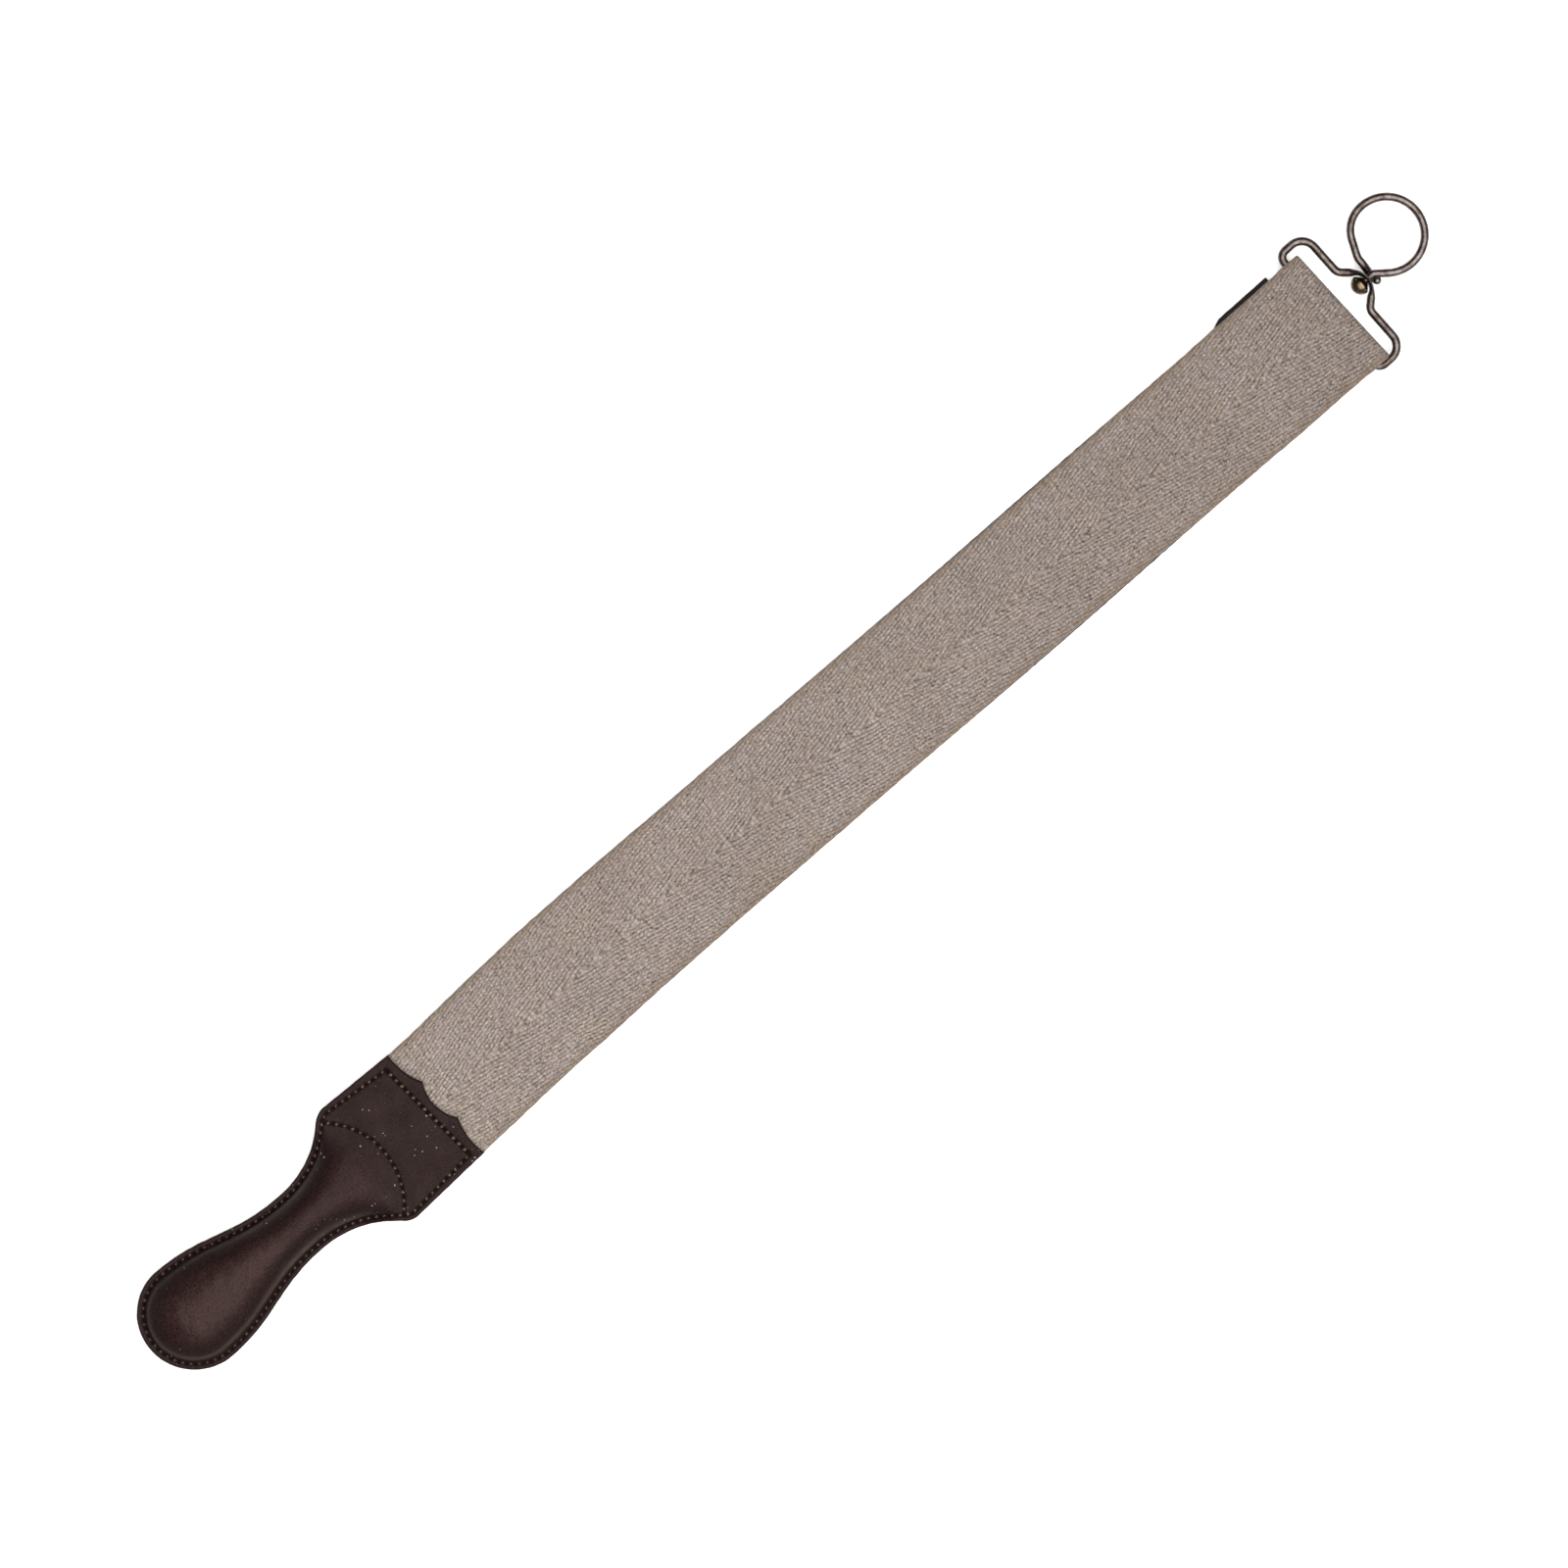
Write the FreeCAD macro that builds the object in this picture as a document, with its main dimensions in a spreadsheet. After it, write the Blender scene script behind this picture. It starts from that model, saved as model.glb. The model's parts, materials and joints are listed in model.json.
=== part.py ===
import FreeCAD, Part
import math
import os
import Sketcher

# Leather strop, lying canvas side up: a padded leather handle at -X, a canvas strap in front of a leather
# strap, and at +X a wire hanger in the canvas loop with a ring that swivels in the hanger's eye.
# Handle and straps are drawn from the handle's end, hanger and ring from the centre of the hanger's bar.

DRIVING_DIMENSIONS = (
    ("overall_length", 635.0, "handle end to the far side of the ring"),
    ("strap_width", 50.8, "two-inch strap"),
    ("canvas_thickness", 2.2, ""),
    ("leather_thickness", 2.6, "strap leather"),
    ("panel_thickness", 2.2, "handle leather"),
    ("layer_gap", 0.05, "between straps that only lie on each other"),
    ("nose_radius", 21.2, "round end of the handle"),
    ("flank_radius", 75.0, "handle side after the nose, convex"),
    ("flank_turn", 15.5, "degrees"),
    ("flank_run", 10.7, "straight part of the side"),
    ("neck_radius", 78.5, "concave side towards the neck"),
    ("neck_run", 1.0, "straight part of the neck"),
    ("shoulder_radius", 42.0, "concave side from the neck to the shoulder"),
    ("shoulder_turn", 44.0, "degrees"),
    ("corner_radius", 8.0, "convex shoulder corner"),
    ("pocket_taper", 2.2, "degrees, sides of the strap pocket"),
    ("pocket_end", 140.3, "corner of the scalloped edge"),
    ("cusp_end", 142.9, "points of the scalloped edge"),
    ("cusp_half_spacing", 9.3, ""),
    ("outer_scallop_radius", 27.5, ""),
    ("middle_scallop_radius", 16.6, ""),
    ("edge_skew", 3.3, "degrees, the hand-cut edge and its seam"),
    ("margin_width", 3.4, "flat leather outside the padding"),
    ("dome_height", 9.0, "padding above the margin at the bulb"),
    ("arc_seam_radius", 30.8, "seam between padding and pocket"),
    ("arc_seam_apex", 114.6, ""),
    ("arc_seam_half_span", 22.4, ""),
    ("level_from", 15.4, "from the arc's centre, where the padding starts to level out"),
    ("level_to", 29.3, "and where it is level with the pocket"),
    ("padding_inset", 4.4, "padding inside the handle's edge"),
    ("padding_clearance", 0.1, "between the padding and the front panel"),
    ("padding_end_gap", 0.8, "between the padding and the straps' ends"),
    ("strap_start", 106.5, "sewn-in ends of both straps"),
    ("fold_end", 590.0, "folded end of the canvas"),
    ("tail_length", 39.0, "canvas turned back behind the bar"),
    ("leather_end_inset", 14.6, "leather strap's end below the fold"),
    ("stitch_pitch", 3.05, ""),
    ("thread_radius", 0.4, ""),
    ("stitch_share", 0.76, "of the pitch that shows as thread"),
    ("grip_seam_inset", 2.3, "seam inside the handle's edge"),
    ("pocket_seam_inset", 3.5, ""),
    ("top_seam_inset", 3.9, "inside the low points of the scalloped edge"),
    ("top_seam_half_span", 20.5, ""),
    ("joint_seam_inset", 3.5, "seam inside the overlap of leather and canvas tail"),
    ("bar_from_fold", 6.1, "bar centre below the fold"),
    ("bar_play", 0.35, "between the bar and the canvas loop"),
    ("loop_flat", 2.5, "level part of the loop next to its round end"),
    ("loop_opening", 7.0, "length over which the loop opens"),
    ("settle_start", 146.0, "straps leave the handle's level"),
    ("settle_run", 56.0, "length over which they come down to the table"),
    ("tail_rise_run", 44.0, "length over which the canvas climbs onto its tail"),
    ("frame_wire", 3.2, "hanger wire diameter"),
    ("bar_half", 24.9, "straight half of the bar"),
    ("bar_bend", 3.2, ""),
    ("frame_corner", 6.1, "bend radius of the outer corners"),
    ("frame_height", 12.25, "bar to shoulder, centre lines"),
    ("shoulder_bend", 4.0, ""),
    ("eye_bend", 7.0, "arch of the flattened eye"),
    ("eye_turn", 48.0, "degrees on each side of its top"),
    ("eye_top", 19.05, "centre line of the eye's top"),
    ("eye_thickness", 1.3, ""),
    ("eye_width", 7.6, ""),
    ("eye_transition", 1.6, "round wire that is already widening before the arch"),
    ("shank_radius", 1.2, ""),
    ("shank_clearance", 0.06, ""),
    ("ring_wire", 3.1, ""),
    ("ring_radius", 14.2, "centre line"),
    ("ring_offset", 7.5, "ring centre to the side of the swivel axis"),
    ("round_until", 185.0, "degrees of heading at which the round part ends"),
    ("closing_radius", 11.6, "tighter bend that closes the ring"),
    ("closing_heading", 246.0, "degrees, straight leg towards the eye"),
    ("leg_exit_radius", 6.0, ""),
    ("leg_bend", 2.0, ""),
    ("leg_start", 21.3, "where the wire leaves the swivel axis"),
    ("shank_start", 14.2, ""),
    ("shank_step", 20.3, "where the full wire begins"),
    ("curl_place", 21.55, "the curl's plane, beside the eye"),
    ("curl_radius", 2.95, "wire's end curled round the shank"),
    ("curl_approach", 5.0, "bend that leads into the curl"),
    ("curl_end", 80.0, "degrees past the curl's lowest point"),
    ("button_radius", 3.8, ""),
    ("button_seat", 15.9, "widest part of the button"),
    ("button_face", 17.85, "side that turns on the eye"),
    ("button_neck", 1.8, "radius of that side"),
)

os.makedirs("parts", exist_ok=True)
doc = FreeCAD.newDocument("leather_strop")
sheet = doc.addObject("Spreadsheet::Sheet", "dims")
for row, (alias, value, note) in enumerate(DRIVING_DIMENSIONS, start=1):
    sheet.set(f"A{row}", alias)
    sheet.set(f"B{row}", str(value))
    sheet.set(f"C{row}", note)
    sheet.setAlias(f"B{row}", alias)
doc.recompute()
V = FreeCAD.Vector
TALL = 30.0  # taller than the whole strop, for shapes that are cut to height
pieces = []


def dim(alias):
    return float(sheet.get(alias))


# ---------------------------------------------------------------- drawing helpers

class Pen:
    """Draws a chain of lines and arcs that are tangent where they meet; hand -1 draws it mirrored in y."""

    def __init__(self, x, y, heading, hand=1):
        self.x, self.y, self.heading = x, y, math.radians(heading * hand)
        self.hand = hand
        self.steps = []

    def line(self, length):
        start = (self.x, self.y)
        self.x += length * math.cos(self.heading)
        self.y += length * math.sin(self.heading)
        self.steps.append({"kind": "line", "start": start, "end": (self.x, self.y)})
        return self

    def arc(self, radius, turn, cell=None):
        """turn is in degrees, anticlockwise when positive; cell names the radius in the sheet."""
        turn = turn * self.hand
        side = math.copysign(1.0, turn)
        start = (self.x, self.y)
        reach = side * radius
        centre = (self.x - reach * math.sin(self.heading), self.y + reach * math.cos(self.heading))
        first = math.atan2(start[1] - centre[1], start[0] - centre[0])
        last = first + math.radians(turn)
        self.x = centre[0] + radius * math.cos(last)
        self.y = centre[1] + radius * math.sin(last)
        self.heading += math.radians(turn)
        self.steps.append({"kind": "arc", "start": start, "end": (self.x, self.y), "centre": centre,
                           "radius": radius, "side": side, "angles": sorted((first, last)), "cell": cell})
        return self

    def curve(self, step):
        if step["kind"] == "line":
            return Part.LineSegment(V(*step["start"], 0), V(*step["end"], 0))
        circle = Part.Circle(V(*step["centre"], 0), V(0, 0, 1), step["radius"])
        return Part.ArcOfCircle(circle, *step["angles"])

    def edges(self):
        return [self.curve(step).toShape() for step in self.steps]


def new_body(label, placement):
    body = doc.addObject("PartDesign::Body", label)
    body.Label = label
    body.Placement = placement
    pieces.append(body)
    return body


def new_feature(label, shape, placement):
    feature = doc.addObject("Part::Feature", label)
    feature.Label = label
    feature.Shape = shape
    feature.Placement = placement
    pieces.append(feature)
    return feature


def new_sketch(body, name, role, offset=V(0, 0, 0), rotation=FreeCAD.Rotation()):
    sketch = body.newObject("Sketcher::SketchObject", name)
    plane = next(item for item in body.Origin.OriginFeatures if item.Role == role)
    sketch.AttachmentSupport = [(plane, "")]
    sketch.MapMode = "FlatFace"
    sketch.AttachmentOffset = FreeCAD.Placement(offset, rotation)
    return sketch


def draw_chain(sketch, pen):
    """Adds the pen's steps, joins their ends and ties each named radius to its cell."""
    indices = [sketch.addGeometry(pen.curve(step), False) for step in pen.steps]

    def ends(position):
        return (2, 1) if pen.steps[position].get("side", 1.0) < 0 else (1, 2)

    for here, there in zip(indices, indices[1:]):
        sketch.addConstraint(Sketcher.Constraint("Coincident", here, ends(here)[1], there, ends(there)[0]))
    named = set()
    for index, step in zip(indices, pen.steps):
        if step.get("cell") and step["cell"] not in named:
            named.add(step["cell"])
            number = sketch.addConstraint(Sketcher.Constraint("Radius", index, step["radius"]))
            sketch.renameConstraint(number, step["cell"])
            sketch.setExpression(f"Constraints.{step['cell']}", f"dims.{step['cell']}")


def draw_circle(sketch, radius, expression, centre=V(0, 0, 0)):
    index = sketch.addGeometry(Part.Circle(centre, V(0, 0, 1), radius), False)
    number = sketch.addConstraint(Sketcher.Constraint("Radius", index, radius))
    sketch.setExpression(f"Constraints[{number}]", expression)
    for kind, value in (("DistanceX", centre.x), ("DistanceY", centre.y)):
        sketch.addConstraint(Sketcher.Constraint(kind, -1, 1, index, 3, value))


def draw_strap_section(sketch, height, thickness_cell, centre_height):
    """Rectangle as wide as the strap, centred on the strap's path, in a plane across the strap."""
    half = dim("strap_width") / 2
    low, high = centre_height - height / 2, centre_height + height / 2
    corners = [V(-half, low, 0), V(half, low, 0), V(half, high, 0), V(-half, high, 0)]
    for corner, following in zip(corners, corners[1:] + corners[:1]):
        sketch.addGeometry(Part.LineSegment(corner, following), False)
    for side in range(4):
        sketch.addConstraint(Sketcher.Constraint("Coincident", side, 2, (side + 1) % 4, 1))
    for side, kind in enumerate(("Horizontal", "Vertical", "Horizontal", "Vertical")):
        sketch.addConstraint(Sketcher.Constraint(kind, side))
    width = sketch.addConstraint(Sketcher.Constraint("DistanceX", 0, 1, 0, 2, 2 * half))
    depth = sketch.addConstraint(Sketcher.Constraint("DistanceY", 1, 1, 1, 2, height))
    sketch.setExpression(f"Constraints[{width}]", "dims.strap_width")
    sketch.setExpression(f"Constraints[{depth}]", f"dims.{thickness_cell}")
    sketch.addConstraint(Sketcher.Constraint("DistanceX", -1, 1, 0, 2, half))
    sketch.addConstraint(Sketcher.Constraint("DistanceY", -1, 1, 0, 2, low))


def add_pipe(body, name, profile, path):
    pipe = body.newObject("PartDesign::AdditivePipe", name)
    pipe.Profile = profile
    pipe.Spine = (path, [f"Edge{number + 1}" for number in range(path.GeometryCount)])
    profile.Visibility = False
    return pipe


# ---------------------------------------------------------------- heights of the layers

panel = dim("panel_thickness")
canvas = dim("canvas_thickness")
leather = dim("leather_thickness")
gap = dim("layer_gap")
leather_in_handle = panel + leather / 2
canvas_in_handle = panel + leather + canvas / 2
leather_on_table = leather / 2
canvas_on_leather = leather + gap + canvas / 2
canvas_on_tail = canvas_on_leather + canvas + gap
bar_height = (canvas_on_leather + canvas_on_tail) / 2
margin_top = 2 * panel
pocket_top = panel + leather + canvas + panel

bar_distance = dim("fold_end") - dim("bar_from_fold")
from_handle_end = FreeCAD.Placement(V(-dim("overall_length") / 2, 0, 0), FreeCAD.Rotation())
from_bar = FreeCAD.Placement(V(bar_distance - dim("overall_length") / 2, 0, bar_height), FreeCAD.Rotation())


# ---------------------------------------------------------------- handle outline

def handle_side(inset=0.0, hand=1):
    """One side of the handle from its round end to the start of the pocket, moved inwards by inset."""
    pen = Pen(inset, 0, 90, hand)
    pen.arc(dim("nose_radius") - inset, -90, None if inset else "nose_radius")
    pen.arc(dim("flank_radius") - inset, -dim("flank_turn"), None if inset else "flank_radius")
    pen.line(dim("flank_run"))
    pen.arc(dim("neck_radius") + inset, dim("flank_turn"), None if inset else "neck_radius")
    pen.line(dim("neck_run"))
    pen.arc(dim("shoulder_radius") + inset, dim("shoulder_turn"), None if inset else "shoulder_radius")
    pen.arc(dim("corner_radius") - inset, -dim("shoulder_turn") - dim("pocket_taper"),
            None if inset else "corner_radius")
    return pen


def to_distance(pen, distance):
    """Runs the pen straight on until it is that far along the handle."""
    return pen.line((distance - pen.x) / math.cos(pen.heading))


def half_width(distance):
    """Half of the handle's width at a distance from its end, from the same lines and arcs."""
    for step in to_distance(handle_side(), dim("cusp_end") + 10).steps:
        if step["start"][0] <= distance <= step["end"][0]:
            if step["kind"] == "line":
                share = (distance - step["start"][0]) / (step["end"][0] - step["start"][0])
                return step["start"][1] + share * (step["end"][1] - step["start"][1])
            rise = math.sqrt(max(step["radius"] ** 2 - (distance - step["centre"][0]) ** 2, 0.0))
            return step["centre"][1] - step["side"] * rise
    return 0.0


def skewed(distance, side):
    """A point of the scalloped edge or of its seam, turned by the edge's skew."""
    turn = math.radians(dim("edge_skew"))
    middle = dim("pocket_end")
    return V(middle + (distance - middle) * math.cos(turn) - side * math.sin(turn),
             side * math.cos(turn) + (distance - middle) * math.sin(turn), 0)


def scallop_points():
    """Corner, cusp and low points of the scalloped edge, from the +Y corner to the -Y corner."""
    outer, middle = dim("outer_scallop_radius"), dim("middle_scallop_radius")
    cusp = dim("cusp_half_spacing")
    outer_run = math.sqrt(outer ** 2 - (outer - (dim("cusp_end") - dim("pocket_end"))) ** 2)
    valley_side = cusp + outer_run
    low = dim("cusp_end") - (middle - math.sqrt(middle ** 2 - cusp ** 2))
    corner_side = half_width(dim("pocket_end"))
    corner_rise = outer - math.sqrt(outer ** 2 - (corner_side - valley_side) ** 2)
    upper = [skewed(dim("pocket_end") + corner_rise, corner_side), skewed(dim("pocket_end"), valley_side),
             skewed(dim("cusp_end"), cusp)]
    lower = [skewed(dim("cusp_end"), -cusp), skewed(dim("pocket_end"), -valley_side),
             skewed(dim("pocket_end") + corner_rise, -corner_side)]
    return upper + [skewed(low, 0)] + lower


def handle_outline():
    """Curves of the whole outline: both sides and the scalloped edge between them."""
    upper, lower = handle_side(), handle_side(hand=-1)
    points = scallop_points()
    curves = [pen.curve(step) for pen in (upper, lower) for step in pen.steps]
    curves.append(Part.LineSegment(V(upper.x, upper.y, 0), points[0]))
    curves.append(Part.Arc(points[0], points[1], points[2]))
    curves.append(Part.Arc(points[2], points[3], points[4]))
    curves.append(Part.Arc(points[4], points[5], points[6]))
    curves.append(Part.LineSegment(points[6], V(lower.x, lower.y, 0)))
    return curves


outline_wire = Part.Wire(Part.__sortEdges__([curve.toShape() for curve in handle_outline()]))


# ---------------------------------------------------------------- padded handle

def smooth(share):
    share = min(max(share, 0.0), 1.0)
    return share * share * (3 - 2 * share)


def front_height(distance, side):
    """Height of the front panel's face: flat margin, domed padding, flat over the straps."""
    nose = dim("nose_radius")
    margin = dim("margin_width")
    if distance < nose:
        depth = nose - math.hypot(distance - nose, side)
        reach = nose - margin
    else:
        depth = half_width(distance) - abs(side)
        reach = half_width(distance) - margin
    share = min(max((depth - margin) / reach, 0.0), 1.0)
    neck_loss = 0.1 * smooth((distance - nose) / (2 * nose))
    dome = margin_top + dim("dome_height") * (1 - neck_loss) * math.sqrt(1 - (1 - share) ** 2)
    arc_centre = dim("arc_seam_apex") - dim("arc_seam_radius")
    if distance < arc_centre:
        return dome
    from_centre = math.hypot(distance - arc_centre, side)
    level = smooth((from_centre - dim("level_from")) / (dim("level_to") - dim("level_from")))
    return dome + level * (pocket_top - dome)


def height_face(drop):
    """Smooth face through the front heights, lowered by drop: a cubic surface on a regular grid."""
    spacing = 2.0
    columns = [spacing * number for number in range(-3, 78)]
    rows = [spacing * number for number in range(-16, 17)]
    poles = [[V(x, y, front_height(max(x, 0.0), y) - drop) for y in rows] for x in columns]
    surface = Part.BSplineSurface()
    knots = [[float(number) for number in range(len(line) - 2)] for line in (columns, rows)]
    repeats = [[4] + [1] * (len(line) - 4) + [4] for line in (columns, rows)]
    surface.buildFromPolesMultsKnots(poles, repeats[0], repeats[1], knots[0], knots[1], False, False, 3, 3)
    return surface.toShape()


def build_back_panel():
    body = new_body("handle_back_panel", from_handle_end)
    sketch = new_sketch(body, "back_outline", "XY_Plane")
    for curve in handle_outline():
        sketch.addGeometry(curve, False)
    pad = body.newObject("PartDesign::Pad", "back_pad")
    pad.Profile = sketch
    pad.setExpression("Length", "dims.panel_thickness")


def build_front_panel():
    outline_prism = Part.Face(outline_wire).extrude(V(0, 0, TALL))
    skin = height_face(0).extrude(V(0, 0, -panel))
    new_feature("handle_front_panel", skin.common(outline_prism), from_handle_end)


def build_grip_core():
    """Padding between the two panels, short of the straps' ends."""
    end = dim("strap_start") - dim("padding_end_gap")
    upper, lower = (to_distance(handle_side(dim("padding_inset"), hand), dim("pocket_end"))
                    for hand in (1, -1))
    across = Part.makeLine(V(upper.x, upper.y, 0), V(lower.x, lower.y, 0))
    wire = Part.Wire(Part.__sortEdges__(upper.edges() + lower.edges() + [across]))
    wire.translate(V(0, 0, panel))
    prism = Part.Face(wire).extrude(V(0, 0, TALL))
    strap_room = Part.makeBox(2 * TALL, 4 * TALL, 2 * TALL, V(end, -2 * TALL, -TALL))
    filling = height_face(panel + dim("padding_clearance")).extrude(V(0, 0, -TALL))
    new_feature("grip_core", filling.common(prism).cut(strap_room), from_handle_end)


# ---------------------------------------------------------------- straps

def s_bend(pen, run, rise):
    """Two equal arcs that move the pen along by run and up by rise, and leave it level again."""
    radius = (run ** 2 + rise ** 2) / (4 * abs(rise))
    turn = math.degrees(math.asin(run / (2 * radius)))
    pen.arc(radius, math.copysign(turn, rise))
    pen.arc(radius, -math.copysign(turn, rise))
    return pen


def build_canvas_strap():
    """Canvas from the handle over the leather, round the bar and back as a tail."""
    loop_radius = dim("frame_wire") / 2 + dim("bar_play") + canvas / 2
    loop_centre = dim("fold_end") - canvas / 2 - loop_radius
    tail_end = dim("fold_end") - dim("tail_length")
    loop_rise = loop_radius - (canvas_on_tail - bar_height)
    body = new_body("canvas_strap", from_handle_end)
    path = new_sketch(body, "canvas_path", "XZ_Plane")
    pen = Pen(dim("strap_start"), canvas_in_handle, 0)
    to_distance(pen, dim("settle_start"))
    s_bend(pen, dim("settle_run"), canvas_on_leather - canvas_in_handle)
    to_distance(pen, tail_end - dim("tail_rise_run"))
    s_bend(pen, dim("tail_rise_run"), canvas_on_tail - canvas_on_leather)
    to_distance(pen, loop_centre - dim("loop_flat") - dim("loop_opening"))
    s_bend(pen, dim("loop_opening"), loop_rise)
    to_distance(pen, loop_centre)
    pen.arc(loop_radius, -180)
    pen.line(dim("loop_flat"))
    s_bend(pen, dim("loop_opening"), -loop_rise)
    to_distance(pen, tail_end)
    draw_chain(path, pen)
    section = new_sketch(body, "canvas_section", "YZ_Plane", V(0, 0, dim("strap_start")))
    draw_strap_section(section, canvas, "canvas_thickness", canvas_in_handle)
    add_pipe(body, "canvas_sweep", section, path)


def build_leather_strap():
    """Leather behind the canvas, down onto the table and up to its end on the canvas tail."""
    body = new_body("leather_strap", from_handle_end)
    path = new_sketch(body, "leather_path", "XZ_Plane")
    pen = Pen(dim("strap_start"), leather_in_handle, 0)
    to_distance(pen, dim("settle_start"))
    s_bend(pen, dim("settle_run"), leather_on_table - leather_in_handle)
    to_distance(pen, dim("fold_end") - dim("leather_end_inset"))
    draw_chain(path, pen)
    section = new_sketch(body, "leather_section", "YZ_Plane", V(0, 0, dim("strap_start")))
    draw_strap_section(section, leather, "leather_thickness", leather_in_handle)
    add_pipe(body, "leather_sweep", section, path)


# ---------------------------------------------------------------- sewing

def stitches(wire, height):
    """Short round bars along a seam, one to each stitch, at the height given for each place."""
    count = round(wire.Length / dim("stitch_pitch"))
    points = wire.discretize(Number=count + 1)
    radius, share = dim("thread_radius"), dim("stitch_share")
    bars = []
    for start, end in zip(points, points[1:]):
        start = V(start.x, start.y, height(start))
        end = V(end.x, end.y, height(end))
        along = end - start
        first = start + along * (1 - share) / 2
        bars.append(Part.makeCylinder(radius, along.Length * share, first, along))
    return Part.makeCompound(bars)


def edge_seam():
    """Seam round the grip and along both sides of the pocket."""
    seam_side = half_width(dim("pocket_end")) - dim("pocket_seam_inset")
    edges = []
    for hand in (1, -1):
        side = handle_side(dim("grip_seam_inset"), hand)
        end = skewed(dim("pocket_end") - dim("top_seam_inset"), hand * seam_side)
        edges += side.edges() + [Part.makeLine(V(side.x, side.y, 0), end)]
    return Part.Wire(Part.__sortEdges__(edges))


def arc_seam():
    apex, radius = dim("arc_seam_apex"), dim("arc_seam_radius")
    end_side = dim("arc_seam_half_span")
    end = apex - radius + math.sqrt(radius ** 2 - end_side ** 2)
    return Part.Wire(Part.Arc(V(end, end_side, 0), V(apex, 0, 0), V(end, -end_side, 0)).toShape())


def top_seam():
    place = dim("pocket_end") - dim("top_seam_inset")
    end_side = dim("top_seam_half_span")
    return Part.Wire(Part.makeLine(skewed(place, end_side), skewed(place, -end_side)))


def joint_seam():
    """Box of stitches that holds the leather's end to the canvas tail."""
    inset = dim("joint_seam_inset")
    near = dim("fold_end") - dim("tail_length") + inset
    far = dim("fold_end") - dim("leather_end_inset") - inset
    side = dim("strap_width") / 2 - inset
    return Part.makePolygon([V(near, -side, 0), V(far, -side, 0), V(far, side, 0), V(near, side, 0),
                             V(near, -side, 0)])


def build_stitching():
    thread = dim("thread_radius")
    for name, seam in (("edge", edge_seam()), ("arc", arc_seam()), ("top", top_seam())):
        front = stitches(seam, lambda at: front_height(at.x, at.y))
        new_feature(f"{name}_stitching_front", front, from_handle_end)
        new_feature(f"{name}_stitching_back", stitches(seam, lambda at: thread), from_handle_end)
    new_feature("strap_joint_stitching_outer", stitches(joint_seam(), lambda at: thread), from_handle_end)
    tail_face = canvas_on_leather + canvas / 2
    new_feature("strap_joint_stitching_inner", stitches(joint_seam(), lambda at: tail_face - thread),
                from_handle_end)


# ---------------------------------------------------------------- hanger and ring

def frame_half():
    """Half of the hanger's wire from the middle of the bar to where the eye starts to flatten."""
    pen = Pen(0, 0, 90)
    pen.line(dim("bar_half"))
    pen.arc(dim("bar_bend"), -90, "bar_bend")
    pen.line(dim("frame_height") - dim("bar_bend") - dim("frame_corner"))
    pen.arc(dim("frame_corner"), -90, "frame_corner")
    turn = math.radians(dim("eye_turn"))
    eye_side = dim("eye_bend") * math.sin(turn)
    eye_start = dim("eye_top") - dim("eye_bend") * (1 - math.cos(turn))
    slant = (eye_start - dim("frame_height")) / math.sin(turn)
    bend_reach = dim("shoulder_bend") * math.tan(turn / 2)
    pen.line(pen.y - eye_side - slant * math.cos(turn) - bend_reach)
    pen.arc(dim("shoulder_bend"), dim("eye_turn"), "shoulder_bend")
    pen.line(slant - bend_reach - dim("eye_transition"))
    return pen


def eye_sections():
    """Place, turn and half sizes of the ellipses from the round wire over the flattened eye."""
    wire = dim("frame_wire") / 2
    thin, wide = dim("eye_thickness") / 2, dim("eye_width") / 2
    turn = dim("eye_turn")
    centre = dim("eye_top") - dim("eye_bend")
    half = [(turn, dim("eye_transition"), wire, wire)]
    for share, flatness in ((1.0, 0.35), (0.7, 0.75), (0.35, 0.95), (0.0, 1.0)):
        half.append((turn * share, 0.0, wire + flatness * (thin - wire), wire + flatness * (wide - wire)))
    sections = []
    for side in (1, -1):
        order = half if side > 0 else half[-2::-1]
        for angle, back, thick, height in order:
            radians = math.radians(angle)
            x = centre + dim("eye_bend") * math.cos(radians) - back * math.sin(radians)
            y = side * (dim("eye_bend") * math.sin(radians) + back * math.cos(radians))
            sections.append((V(x, y, 0), side * angle, thick, height))
    return sections


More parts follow.
